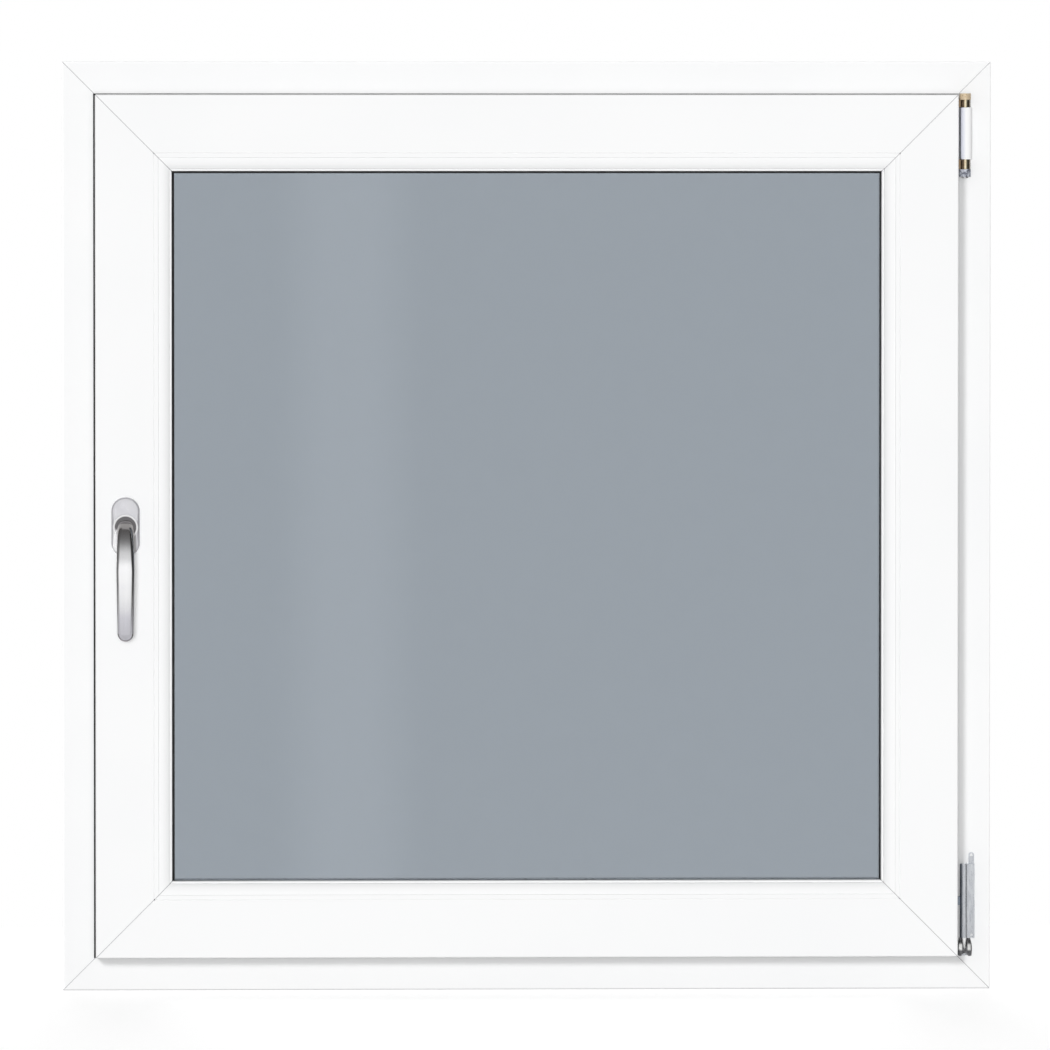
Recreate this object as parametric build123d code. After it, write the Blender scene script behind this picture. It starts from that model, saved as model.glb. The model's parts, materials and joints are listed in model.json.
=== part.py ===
from build123d import *
import os

# A single-sash tilt-and-turn window: mitred and welded plastic frame and sash,
# double glazing held by clip-in beads, two exposed hinges and a turning lever handle.
# Axes: +Z up, +X to the right as seen from the room, +Y to the outside.
# The origin is the middle of the frame's underside.  All sizes are in millimetres.
# Sections are drawn as (u, v): u runs inwards from the frame's outer edge,
# v runs outwards from the frame's room face.

# Whole window
WINDOW_WIDTH = 1000.0
WINDOW_HEIGHT = 1000.0

# Plastic profile, common to frame and sash
OUTER_WALL = 2.8
INNER_WEB = 1.6
EDGE_RADIUS = 1.6
WELD_GROOVE = 0.45

# Outer frame profile
FRAME_DEPTH = 70.0
FRAME_CHAMBERS = 4
FRAME_STOP_THICKNESS = 12.0
FRAME_STOP_COVER = 10.5
FRAME_STOP_BEVEL = 3.0
ANCHOR_GROOVE_WIDTH = 11.0
ANCHOR_GROOVE_DEPTH = 4.5
ANCHOR_GROOVE_SPACING = 36.0

# Sash profile and where it lies in the frame
SASH_MARGIN = 35.5
SASH_OVERLAP = 8.0
SASH_AIR_GAP = 12.0
SASH_PROUD = 16.0
SASH_FACE = 63.0
SASH_CHAMBERS = 4
SASH_LEG_THICKNESS = 17.0
SASH_LEG_BEVEL = 6.0
FITTING_GROOVE_WIDTH = 16.0
FITTING_GROOVE_DEPTH = 9.0
FITTING_GROOVE_INSET = 7.0

# Seals
OVERLAP_SEAL_THICKNESS = 3.5
OVERLAP_SEAL_REVEAL = 1.2
OVERLAP_SEAL_WIDTH = 7.0
STOP_SEAL_THICKNESS = 4.0
STOP_SEAL_REVEAL = 2.0
STOP_SEAL_WIDTH = 9.0
OUTER_GLASS_SEAL_THICKNESS = 3.5
INNER_GLASS_SEAL_THICKNESS = 3.0
GLASS_SEAL_REVEAL = 2.4
GLASS_SEAL_WIDTH = 8.0
SEAL_LIP = 1.4

# Glazing bead
BEAD_WIDTH = 19.3
BEAD_LEDGE = 5.2
BEAD_STEP = 1.1
BEAD_CURVE_DROP = 4.2
BEAD_LIP_WIDTH = 2.4
BEAD_LIP_DROP = 5.2
BEAD_EDGE = 0.6

# Double-glazed unit
PANE_THICKNESS = 4.0
PANE_CAVITY = 16.0
GLASS_BITE = 14.0
SPACER_HEIGHT = 7.0
SPACER_SET_BACK = 1.0

# Handle
HANDLE_BACKSET = 32.5
HANDLE_HEIGHT = 500.0
ROSETTE_WIDTH = 30.4
ROSETTE_LENGTH = 64.0
ROSETTE_THICKNESS = 10.5
ROSETTE_EDGE = 2.2
BOSS_DIAMETER = 27.4
BOSS_HEIGHT = 3.0
BOSS_RIM = 2.4
BOSS_RECESS = 1.2
JOURNAL_DIAMETER = 15.0
JOURNAL_LENGTH = 8.0
JOURNAL_CLEARANCE = 0.06
LEVER_LENGTH = 121.5
LEVER_PROJECTION = 54.0
LEVER_BEND_LENGTH = 46.0
LEVER_RUNNING_GAP = 0.3
NECK_LENGTH = 3.0
NECK_WIDTH = 16.6
NECK_THICKNESS = 15.0
NECK_EDGE_RADIUS = 7.0
GRIP_WIDTH = 19.4
GRIP_THICKNESS = 12.4
GRIP_EDGE_RADIUS = 3.0
GRIP_END_WIDTH = 17.0
GRIP_END_THICKNESS = 10.6
GRIP_DROP = 3.4
BEND_STATIONS = 8
GRIP_STATIONS = 4

# Hinge line, shared by the upper and the lower hinge
HINGE_OFFSET = 7.3
HINGE_LINE_PROUD = 9.6
HINGE_SEAL_GAP = 0.4

# Upper hinge: two frame knuckles, the stay's barrel between them, its clip-on sleeve and the pin
UPPER_HINGE_HEIGHT = 89.5
UPPER_HINGE_DROP = 34.3
UPPER_KNUCKLE_TOP = 6.8
UPPER_KNUCKLE_BOTTOM = 8.0
KNUCKLE_RADIUS = 6.2
HINGE_PLATE_THICKNESS = 2.5
STAY_NECK_RADIUS = 5.4
STAY_CORE_RADIUS = 4.2
STAY_LUG_THICKNESS = 4.0
HINGE_PIN_DIAMETER = 5.0
HINGE_PIN_HEAD = 1.2
HINGE_CLEARANCE = 0.1
SLEEVE_LENGTH = 56.2
SLEEVE_TOP_GAP = 8.0
SLEEVE_RADIUS = 6.3
SLEEVE_OFFSET = 1.3
SLEEVE_EDGE = 0.5

# Lower hinge: frame bearing round the sash barrel, pivot cone and the open cup that carries it
LOWER_HINGE_TOP = 135.5
LOWER_HINGE_BOTTOM = 55.5
LOWER_BARREL_RADIUS = 4.6
LOWER_SEAT_GAP = 0.3
LOWER_LUG_HEIGHT = 9.0
LOWER_BEARING_REACH = 10.8
LOWER_BEARING_PROUD = 4.2
LOWER_PLATE_THICKNESS = 4.0
LOWER_TAB_WIDTH = 6.0
LOWER_TAB_HEIGHT = 12.0
LOWER_EYE_DIAMETER = 3.4
CUP_RADIUS = 7.1
CUP_HEIGHT = 19.5
CUP_TOP_WIDTH = 9.6
CUP_WAIST_WIDTH = 16.0
CUP_WAIST_DROP = 8.0
CUP_FOOT_WIDTH = 13.2
CUP_CAVITY_RADIUS = 4.0
CUP_FLOOR = 5.0
CUP_NOTCH_WIDTH = 7.6
CUP_NOTCH_DEPTH = 13.2
CUP_FOOT_NOTCH = 3.6
PIVOT_RADIUS = 2.6
PIVOT_FLAT_COUNT = 12
PIVOT_NECK_RADIUS = 1.1
PIVOT_TOE_RADIUS = 1.6
PIVOT_TOE_HEIGHT = 2.6

# Drain covers on the outside of the sill
DRAIN_COVER_LENGTH = 42.0
DRAIN_COVER_WIDTH = 13.0
DRAIN_COVER_THICKNESS = 4.5
DRAIN_COVER_END_DISTANCE = 180.0
DRAIN_COVER_RISE = 21.0
DRAIN_COVER_DRAFT = 12.0

# Section lines worked out from the sizes above
FRAME_FACE = SASH_MARGIN + SASH_OVERLAP
FRAME_STOP_V = FRAME_DEPTH - FRAME_STOP_THICKNESS
SASH_BODY_U = FRAME_FACE + SASH_AIR_GAP
FRAME_STOP_U = SASH_BODY_U + FRAME_STOP_COVER
SASH_ROOM_V = -SASH_PROUD
SASH_OUTER_V = FRAME_STOP_V - STOP_SEAL_THICKNESS
BEAD_U = SASH_MARGIN + SASH_FACE
SASH_TIP_U = BEAD_U + BEAD_WIDTH
SASH_LEG_V = SASH_OUTER_V - SASH_LEG_THICKNESS
OUTER_PANE_V = SASH_LEG_V - OUTER_GLASS_SEAL_THICKNESS - PANE_THICKNESS
INNER_PANE_V = OUTER_PANE_V - PANE_CAVITY - PANE_THICKNESS
BEAD_GLASS_V = INNER_PANE_V - INNER_GLASS_SEAL_THICKNESS
GLASS_EDGE_U = SASH_TIP_U - GLASS_BITE
SPACER_U = SASH_TIP_U - SPACER_SET_BACK - SPACER_HEIGHT

# Planes and places worked out from the sizes above
LEVER_FLOOR_Z = ROSETTE_THICKNESS + BOSS_HEIGHT - BOSS_RECESS
ROOM_FACE_Y = -FRAME_DEPTH / 2
SASH_FACE_Y = ROOM_FACE_Y + SASH_ROOM_V
HINGE_X = WINDOW_WIDTH / 2 - SASH_MARGIN + HINGE_OFFSET
HINGE_Y = ROOM_FACE_Y - HINGE_LINE_PROUD
SASH_EDGE_X = WINDOW_WIDTH / 2 - SASH_MARGIN
BAR_PLANE = Plane(origin=(0, ROOM_FACE_Y, 0), x_dir=(0, 0, 1), z_dir=(-1, 0, 0))
HANDLE_PLANE = Plane(
    origin=(-WINDOW_WIDTH / 2 + SASH_MARGIN + HANDLE_BACKSET, SASH_FACE_Y, HANDLE_HEIGHT),
    x_dir=(1, 0, 0),
    z_dir=(0, -1, 0),
)
SIDES = {
    "top": (WINDOW_WIDTH, Location((0, 0, WINDOW_HEIGHT), (0, 180, 0))),
    "bottom": (WINDOW_WIDTH, Location((0, 0, 0))),
    "left": (WINDOW_HEIGHT, Location((-WINDOW_WIDTH / 2, 0, WINDOW_HEIGHT / 2), (0, 90, 0))),
    "right": (WINDOW_HEIGHT, Location((WINDOW_WIDTH / 2, 0, WINDOW_HEIGHT / 2), (0, -90, 0))),
}


# Section drawing

def outline(*corners):
    """A closed section from (u, v) corners; (u, v, size, fillet or chamfer) eases that corner."""
    face = make_face(Polyline(*[corner[:2] for corner in corners], close=True))
    for u, v, size, ease in [corner for corner in corners if len(corner) == 4]:
        face = ease(face.vertices().sort_by_distance((u, v, 0))[0], size)
    return face


def rectangle(u0, u1, v0, v1):
    """A rectangle between two u lines and two v lines."""
    return Pos((u0 + u1) / 2, (v0 + v1) / 2) * Rectangle(u1 - u0, v1 - v0)


def chambers(u0, u1, v0, v1, count):
    """A row of equal hollow chambers across the depth, with a web between each two."""
    width = (v1 - v0 - (count - 1) * INNER_WEB) / count
    starts = [v0 + i * (width + INNER_WEB) for i in range(count)]
    return sum([rectangle(u0, u1, start, start + width) for start in starts], Sketch())


def frame_profile():
    """The outer frame's multi-chamber section: flat room face, rebate and outer stop."""
    skin = outline(
        (0, 0, EDGE_RADIUS, fillet),
        (FRAME_FACE, 0, EDGE_RADIUS, chamfer),
        (FRAME_FACE, FRAME_STOP_V),
        (FRAME_STOP_U, FRAME_STOP_V),
        (FRAME_STOP_U, FRAME_DEPTH - FRAME_STOP_BEVEL, EDGE_RADIUS, fillet),
        (SASH_BODY_U, FRAME_DEPTH),
        (0, FRAME_DEPTH, EDGE_RADIUS, chamfer),
    )
    hollow = chambers(
        OUTER_WALL, FRAME_FACE - OUTER_WALL, OUTER_WALL, FRAME_DEPTH - OUTER_WALL, FRAME_CHAMBERS
    )
    hollow += rectangle(
        FRAME_FACE - OUTER_WALL + INNER_WEB,
        FRAME_STOP_U - OUTER_WALL,
        FRAME_STOP_V + OUTER_WALL,
        FRAME_DEPTH - FRAME_STOP_BEVEL - OUTER_WALL,
    )
    for side in (-1, 1):
        middle = (FRAME_DEPTH + side * ANCHOR_GROOVE_SPACING) / 2
        low = middle - ANCHOR_GROOVE_WIDTH / 2
        high = middle + ANCHOR_GROOVE_WIDTH / 2
        skin -= rectangle(-OUTER_WALL, ANCHOR_GROOVE_DEPTH, low, high)
        hollow -= rectangle(0, ANCHOR_GROOVE_DEPTH + OUTER_WALL, low - OUTER_WALL, high + OUTER_WALL)
    return skin, hollow


def sash_profile():
    """The sash's Z-shaped section: room overlap, fitting groove, main chambers and glass leg."""
    skin = outline(
        (SASH_MARGIN, SASH_ROOM_V, EDGE_RADIUS, fillet),
        (SASH_MARGIN, -OVERLAP_SEAL_THICKNESS, BEAD_EDGE, chamfer),
        (SASH_BODY_U, -OVERLAP_SEAL_THICKNESS),
        (SASH_BODY_U, SASH_OUTER_V, EDGE_RADIUS, chamfer),
        (BEAD_U, SASH_OUTER_V),
        (SASH_TIP_U, SASH_OUTER_V - SASH_LEG_BEVEL, EDGE_RADIUS, fillet),
        (SASH_TIP_U, SASH_LEG_V),
        (BEAD_U, SASH_LEG_V),
        (BEAD_U, SASH_ROOM_V, BEAD_EDGE, chamfer),
    )
    hollow = chambers(
        SASH_BODY_U + OUTER_WALL,
        BEAD_U - OUTER_WALL,
        SASH_ROOM_V + OUTER_WALL,
        SASH_OUTER_V - OUTER_WALL,
        SASH_CHAMBERS,
    )
    hollow += rectangle(
        SASH_MARGIN + OUTER_WALL,
        SASH_BODY_U + OUTER_WALL - INNER_WEB,
        SASH_ROOM_V + OUTER_WALL,
        -OVERLAP_SEAL_THICKNESS - OUTER_WALL,
    )
    hollow += rectangle(
        BEAD_U - OUTER_WALL + INNER_WEB,
        SASH_TIP_U - OUTER_WALL,
        SASH_LEG_V + OUTER_WALL,
        SASH_OUTER_V - SASH_LEG_BEVEL - OUTER_WALL,
    )
    low = -OVERLAP_SEAL_THICKNESS + FITTING_GROOVE_INSET
    high = low + FITTING_GROOVE_WIDTH
    floor = SASH_BODY_U + FITTING_GROOVE_DEPTH
    skin -= rectangle(SASH_BODY_U - OUTER_WALL, floor, low, high)
    hollow -= rectangle(SASH_BODY_U, floor + OUTER_WALL, low - OUTER_WALL, high + OUTER_WALL)
    return skin, hollow


def bead_profile():
    """The glazing bead: flat ledge, small step, rounded shoulder and a lip against the seal."""
    ledge_end = BEAD_U + BEAD_LEDGE
    curve_start = ledge_end + BEAD_STEP
    curve_end = SASH_TIP_U - BEAD_LIP_WIDTH
    step_v = SASH_ROOM_V + BEAD_STEP
    curve_v = step_v + BEAD_CURVE_DROP
    lip_v = curve_v + BEAD_LIP_DROP
    shoulder = TangentArc((curve_start, step_v), (curve_end, curve_v), tangent=(1, 0))
    rest = Polyline(
        (curve_end, curve_v),
        (curve_end, lip_v),
        (SASH_TIP_U, lip_v),
        (SASH_TIP_U, BEAD_GLASS_V),
        (BEAD_U, BEAD_GLASS_V),
        (BEAD_U, SASH_ROOM_V),
        (ledge_end, SASH_ROOM_V),
        (ledge_end, step_v),
        (curve_start, step_v),
    )
    face = make_face(shoulder.edges() + rest.edges())
    for corner in ((BEAD_U, SASH_ROOM_V, 0), (ledge_end, SASH_ROOM_V, 0), (SASH_TIP_U, lip_v, 0)):
        face = chamfer(face.vertices().sort_by_distance(corner)[0], BEAD_EDGE)
    hollow = rectangle(
        BEAD_U + OUTER_WALL, curve_end - OUTER_WALL, curve_v + INNER_WEB, BEAD_GLASS_V - INNER_WEB
    )
    return face, hollow


def lip_seal(root_u, tip_u, v0, v1, lip_v):
    """A flat rubber seal between two faces, with a bevelled lip on its tip's lip_v side."""
    lip = SEAL_LIP if tip_u > root_u else -SEAL_LIP
    far_v = v1 if lip_v == v0 else v0
    back = SEAL_LIP if far_v > lip_v else -SEAL_LIP
    return outline(
        (root_u, lip_v), (tip_u - lip, lip_v), (tip_u, lip_v + back), (tip_u, far_v), (root_u, far_v)
    )


# Mitred bars and rings

def mitred(section, length, inset=0.0):
    """A bar of one section along X, both ends cut at 45 degrees and held back by an inset."""
    half = length / 2 - inset * 2**0.5
    wedge = make_face(Polyline((-half, 0), (half, 0), (0, half), close=True))
    blank = extrude(BAR_PLANE * section, half, both=True)
    return blank & extrude(Plane.XZ * wedge, 2 * FRAME_DEPTH, both=True)


def welded_bar(skin, hollow, length):
    """One member whose skin stops short of the weld, leaving a shallow groove round each mitre."""
    core = offset(skin, -WELD_GROOVE, kind=Kind.INTERSECTION)
    return mitred(skin - hollow, length, WELD_GROOVE) + mitred(core - hollow, length)


def mitred_set(skin, hollow):
    """The four members of one rectangle, by side."""
    return {side: place * welded_bar(skin, hollow, length) for side, (length, place) in SIDES.items()}


def ring(section):
    """One closed rectangle of a plain section."""
    pieces = [place * mitred(section, length) for length, place in SIDES.values()]
    return pieces[0].fuse(*pieces[1:]).clean()


def pane(v):
    """One sheet of glass whose room face is at v."""
    middle = (0, ROOM_FACE_Y + v + PANE_THICKNESS / 2, WINDOW_HEIGHT / 2)
    width = WINDOW_WIDTH - 2 * GLASS_EDGE_U
    height = WINDOW_HEIGHT - 2 * GLASS_EDGE_U
    return Pos(*middle) * Box(width, PANE_THICKNESS, height)


# Handle, drawn with local z towards the room and local y up

def rod(radius, low, high):
    """A round bar on the handle's turning axis."""
    return Pos(0, 0, low) * Cylinder(radius, high - low, align=(Align.CENTER, Align.CENTER, Align.MIN))


def rosette():
    """The oval handle plate with a rimmed round boss and the bore that the lever turns in."""
    plate = extrude(SlotOverall(ROSETTE_LENGTH, ROSETTE_WIDTH, rotation=90), ROSETTE_THICKNESS)
    plate = chamfer(plate.faces().sort_by(Axis.Z)[-1].edges(), ROSETTE_EDGE)
    boss = rod(BOSS_DIAMETER / 2, ROSETTE_THICKNESS, ROSETTE_THICKNESS + BOSS_HEIGHT)
    boss -= rod(BOSS_DIAMETER / 2 - BOSS_RIM, LEVER_FLOOR_Z, ROSETTE_THICKNESS + BOSS_HEIGHT)
    bore = rod(JOURNAL_DIAMETER / 2 + JOURNAL_CLEARANCE, 0, LEVER_FLOOR_Z)
    return HANDLE_PLANE.location * (plate + boss - bore)


def lever_section(width, thickness, radius, plane):
    """One cross-section of the lever on its own plane, each corner rounded off by two flats."""
    flat = radius * (1 - 0.5**0.5)
    x = width / 2
    y = thickness / 2
    corner = [(x, y - radius), (x - flat, y - flat), (x - radius, y)]
    right_top = corner
    left_top = [(-u, v) for u, v in reversed(corner)]
    left_bottom = [(-u, -v) for u, v in corner]
    right_bottom = [(u, -v) for u, v in reversed(corner)]
    return plane * make_face(Polyline(*right_top, *left_top, *left_bottom, *right_bottom, close=True))


def lever():
    """The lever: journal, short neck, long elliptical bend, drooping grip and half-round tip."""
    seat = LEVER_FLOOR_Z + LEVER_RUNNING_GAP
    grip_z = LEVER_PROJECTION - GRIP_THICKNESS / 2
    bend_z = seat + NECK_LENGTH
    bend_rise = grip_z - bend_z
    tip_y = GRIP_END_WIDTH / 2 - LEVER_LENGTH
    grip_length = -tip_y - LEVER_BEND_LENGTH

    sections = [lever_section(NECK_WIDTH, NECK_THICKNESS, NECK_EDGE_RADIUS, Plane(origin=(0, 0, seat)))]
    for step in range(BEND_STATIONS + 1):
        share = step / BEND_STATIONS
        sweep_arm = Vector(1, 0, 0).rotate(Axis.Z, 90 * share)
        plane = Plane(
            origin=(0, LEVER_BEND_LENGTH * (sweep_arm.X - 1), bend_z + bend_rise * sweep_arm.Y),
            x_dir=(1, 0, 0),
            z_dir=(0, -LEVER_BEND_LENGTH * sweep_arm.Y, bend_rise * sweep_arm.X),
        )
        width = NECK_WIDTH + (GRIP_WIDTH - NECK_WIDTH) * share
        thickness = NECK_THICKNESS + (GRIP_THICKNESS - NECK_THICKNESS) * share
        radius = NECK_EDGE_RADIUS + (GRIP_EDGE_RADIUS - NECK_EDGE_RADIUS) * share
        sections.append(lever_section(width, thickness, radius, plane))
    for step in range(1, GRIP_STATIONS + 1):
        share = step / GRIP_STATIONS
        plane = Plane(
            origin=(0, -LEVER_BEND_LENGTH - grip_length * share, grip_z - GRIP_DROP * share**2),
            x_dir=(1, 0, 0),
            z_dir=(0, -grip_length, -2 * GRIP_DROP * share),
        )
        width = GRIP_WIDTH + (GRIP_END_WIDTH - GRIP_WIDTH) * share
        thickness = GRIP_THICKNESS + (GRIP_END_THICKNESS - GRIP_THICKNESS) * share
        sections.append(lever_section(width, thickness, GRIP_EDGE_RADIUS, plane))
    bar = loft(sections, ruled=True)

    end_half = plane * Pos(GRIP_END_WIDTH / 4, 0) * Rectangle(GRIP_END_WIDTH / 2, GRIP_END_THICKNESS)
    end_half &= sections[-1]
    tip = revolve(end_half, Axis(plane.origin, -plane.y_dir), 180)
    journal = rod(JOURNAL_DIAMETER / 2, seat - JOURNAL_LENGTH, seat)
    return HANDLE_PLANE.location * (journal + bar + tip)


# Hinges

def upright(radius, low, high):
    """A vertical cylinder on the hinge line."""
    return Pos(HINGE_X, HINGE_Y, low) * Cylinder(
        radius, high - low, align=(Align.CENTER, Align.CENTER, Align.MIN)
    )


def block(x0, x1, y0, y1, z0, z1):
    """A box between two planes each way."""
    return Pos((x0 + x1) / 2, (y0 + y1) / 2, (z0 + z1) / 2) * Box(x1 - x0, y1 - y0, z1 - z0)


def upper_hinge():
    """Frame bracket with two knuckles, stay barrel with a lug at each neck, sleeve and pin."""
    top = WINDOW_HEIGHT - UPPER_HINGE_DROP
    bottom = top - UPPER_HINGE_HEIGHT
    barrel_top = top - UPPER_KNUCKLE_TOP - HINGE_CLEARANCE
    barrel_bottom = bottom + UPPER_KNUCKLE_BOTTOM + HINGE_CLEARANCE
    sleeve_top = barrel_top - SLEEVE_TOP_GAP
    sleeve_bottom = sleeve_top - SLEEVE_LENGTH
    left = SASH_EDGE_X + OVERLAP_SEAL_REVEAL + HINGE_SEAL_GAP
    right = HINGE_X + KNUCKLE_RADIUS
    plate_y = ROOM_FACE_Y - HINGE_PLATE_THICKNESS
    bore = upright(HINGE_PIN_DIAMETER / 2 + HINGE_CLEARANCE, bottom, top)
    bracket = block(left, right, plate_y, ROOM_FACE_Y, bottom, top)
    for low, high in ((barrel_top + HINGE_CLEARANCE, top), (bottom, barrel_bottom - HINGE_CLEARANCE)):
        bracket += upright(KNUCKLE_RADIUS, low, high)
        bracket += block(left + HINGE_PLATE_THICKNESS, right, HINGE_Y, plate_y, low, high)

    lug_front = HINGE_Y - STAY_LUG_THICKNESS / 2
    lug_back = HINGE_Y + STAY_LUG_THICKNESS / 2
    barrel = upright(STAY_CORE_RADIUS, barrel_bottom, barrel_top)
    for low, high in ((sleeve_top, barrel_top), (barrel_bottom, sleeve_bottom)):
        barrel += upright(STAY_NECK_RADIUS, low, high)
        barrel += block(SASH_EDGE_X, HINGE_X, lug_front, lug_back, low, high)

    sleeve = Pos(SLEEVE_OFFSET, 0) * upright(
        SLEEVE_RADIUS, sleeve_bottom + HINGE_CLEARANCE, sleeve_top - HINGE_CLEARANCE
    )
    sleeve = chamfer(sleeve.edges().filter_by(GeomType.CIRCLE), SLEEVE_EDGE)
    sleeve -= upright(STAY_CORE_RADIUS + HINGE_CLEARANCE, sleeve_bottom, sleeve_top)
    pin = upright(HINGE_PIN_DIAMETER / 2, bottom, top)
    pin += upright(HINGE_PIN_DIAMETER / 2 + HINGE_PIN_HEAD, bottom - HINGE_PIN_HEAD, bottom)
    return {
        "upper_hinge_bracket": bracket - bore,
        "upper_hinge_stay_barrel": barrel - bore,
        "upper_hinge_sleeve": sleeve,
        "upper_hinge_pin": pin,
    }


def lower_hinge():
    """Frame bearing with a tab and two eyes, sash barrel in its seat, pivot cone and open cup."""
    low = LOWER_HINGE_BOTTOM
    high = LOWER_HINGE_TOP
    cup_bottom = low - CUP_HEIGHT
    right = HINGE_X + LOWER_BEARING_REACH
    front_y = HINGE_Y - LOWER_BEARING_PROUD
    plate_y = ROOM_FACE_Y - LOWER_PLATE_THICKNESS
    bearing = block(HINGE_X, right, front_y, ROOM_FACE_Y, low, high)
    bearing -= upright(LOWER_BARREL_RADIUS + LOWER_SEAT_GAP, low, high)
    tab_middle = right - LOWER_TAB_WIDTH / 2
    tab_eye_z = high + LOWER_TAB_HEIGHT - LOWER_TAB_WIDTH / 2
    face = Plane(origin=(tab_middle, ROOM_FACE_Y, 0), x_dir=(1, 0, 0), z_dir=(0, -1, 0))
    tab = rectangle(-LOWER_TAB_WIDTH / 2, LOWER_TAB_WIDTH / 2, high, tab_eye_z)
    tab += Pos(0, tab_eye_z) * Circle(LOWER_TAB_WIDTH / 2)
    bearing += extrude(face * tab, LOWER_PLATE_THICKNESS)
    for eye_z in (tab_eye_z, low + LOWER_TAB_WIDTH / 2):
        bearing -= extrude(face * (Pos(0, eye_z) * Circle(LOWER_EYE_DIAMETER / 2)), FRAME_DEPTH)
    bearing += block(
        HINGE_X - CUP_RADIUS / 2, HINGE_X + CUP_RADIUS / 2, plate_y, ROOM_FACE_Y, cup_bottom, low
    )

    lug_low = (low + high - LOWER_LUG_HEIGHT) / 2
    barrel = upright(LOWER_BARREL_RADIUS, low, high)
    barrel += block(
        SASH_EDGE_X, HINGE_X, HINGE_Y, HINGE_Y + STAY_LUG_THICKNESS, lug_low, lug_low + LOWER_LUG_HEIGHT
    )

    front = Plane(origin=(HINGE_X, HINGE_Y, 0), x_dir=(1, 0, 0), z_dir=(0, -1, 0))
    half_cup = Polyline(
        (0, cup_bottom),
        (CUP_FOOT_WIDTH / 2, cup_bottom),
        (CUP_WAIST_WIDTH / 2, low - CUP_WAIST_DROP),
        (CUP_TOP_WIDTH / 2, low),
        (0, low),
        close=True,
    )
    cup_outline = make_face(half_cup)
    cup_outline += mirror(cup_outline, Plane.YZ)
    cup = upright(CUP_RADIUS, cup_bottom, low) & extrude(front * cup_outline, CUP_RADIUS, both=True)
    cup -= upright(CUP_CAVITY_RADIUS, cup_bottom + CUP_FLOOR, low)
    half_notch = CUP_NOTCH_WIDTH / 2
    notch = make_face(Polyline((-half_notch, low), (half_notch, low), (0, low - CUP_NOTCH_DEPTH), close=True))
    arch = Pos(0, cup_bottom) * Circle(CUP_FOOT_NOTCH)
    cup -= extrude(front * (notch + arch), CUP_RADIUS)
    cup -= block(HINGE_X - CUP_RADIUS, HINGE_X + CUP_RADIUS, plate_y, ROOM_FACE_Y, cup_bottom, low)

    toe_low = cup_bottom + CUP_FLOOR
    toe_high = toe_low + PIVOT_TOE_HEIGHT
    wedge = Polyline(
        (-PIVOT_NECK_RADIUS, toe_high),
        (PIVOT_NECK_RADIUS, toe_high),
        (PIVOT_RADIUS, low),
        (-PIVOT_RADIUS, low),
        close=True,
    )
    blade = extrude(front * make_face(wedge), 2 * PIVOT_RADIUS, both=True)
    hinge_axis = Axis((HINGE_X, HINGE_Y, 0), (0, 0, 1))
    pivot = blade
    for step in range(1, PIVOT_FLAT_COUNT // 2):
        pivot &= blade.rotate(hinge_axis, 360 * step / PIVOT_FLAT_COUNT)
    pivot += upright(PIVOT_TOE_RADIUS, toe_low, toe_high)
    return {
        "lower_hinge_bearing": bearing,
        "lower_hinge_barrel": barrel,
        "lower_hinge_cup": cup,
        "lower_hinge_pivot": pivot,
    }


def drain_covers():
    """Two hooded covers over the drain slots on the outside of the sill."""
    plane = Plane(origin=(0, FRAME_DEPTH / 2, DRAIN_COVER_RISE), x_dir=(-1, 0, 0), z_dir=(0, 1, 0))
    covers = []
    for side in (-1, 1):
        place = Pos(side * (WINDOW_WIDTH / 2 - DRAIN_COVER_END_DISTANCE), 0)
        foot = place * SlotOverall(DRAIN_COVER_LENGTH, DRAIN_COVER_WIDTH)
        covers.append(plane.location * extrude(foot, DRAIN_COVER_THICKNESS, taper=DRAIN_COVER_DRAFT))
    return Compound(children=covers)


# The whole window

def build():
    """Every node of the window by name."""
    nodes = {}
    member_names = {"top": "head", "bottom": "sill", "left": "left_jamb", "right": "right_jamb"}
    for side, member in mitred_set(*frame_profile()).items():
        nodes[f"frame_{member_names[side]}"] = member
    rail_names = {"top": "top_rail", "bottom": "bottom_rail", "left": "left_stile", "right": "right_stile"}
    for side, member in mitred_set(*sash_profile()).items():
        nodes[f"sash_{rail_names[side]}"] = member
    for side, member in mitred_set(*bead_profile()).items():
        nodes[f"glazing_bead_{side}"] = member
    nodes["sash_overlap_seal"] = ring(
        lip_seal(
            SASH_MARGIN - OVERLAP_SEAL_REVEAL + OVERLAP_SEAL_WIDTH,
            SASH_MARGIN - OVERLAP_SEAL_REVEAL,
            -OVERLAP_SEAL_THICKNESS,
            0,
            -OVERLAP_SEAL_THICKNESS,
        )
    )
    stop_tip = FRAME_STOP_U + STOP_SEAL_REVEAL
    nodes["frame_stop_seal"] = ring(
        lip_seal(stop_tip - STOP_SEAL_WIDTH, stop_tip, SASH_OUTER_V, FRAME_STOP_V, FRAME_STOP_V)
    )
    glass_tip = SASH_TIP_U + GLASS_SEAL_REVEAL
    glass_root = glass_tip - GLASS_SEAL_WIDTH
    nodes["inner_glass_seal"] = ring(
        lip_seal(glass_root, glass_tip, BEAD_GLASS_V, INNER_PANE_V, BEAD_GLASS_V)
    )
    outer_glass_v = OUTER_PANE_V + PANE_THICKNESS
    nodes["outer_glass_seal"] = ring(
        lip_seal(glass_root, glass_tip, outer_glass_v, SASH_LEG_V, SASH_LEG_V)
    )
    nodes["inner_pane"] = pane(INNER_PANE_V)
    nodes["outer_pane"] = pane(OUTER_PANE_V)
    nodes["glass_spacer"] = ring(
        rectangle(SPACER_U, SPACER_U + SPACER_HEIGHT, INNER_PANE_V + PANE_THICKNESS, OUTER_PANE_V)
    )
    nodes["handle_rosette"] = rosette()
    nodes["handle_lever"] = lever()
    nodes.update(upper_hinge())
    nodes.update(lower_hinge())
    nodes["drain_covers"] = drain_covers()
    return nodes


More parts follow.
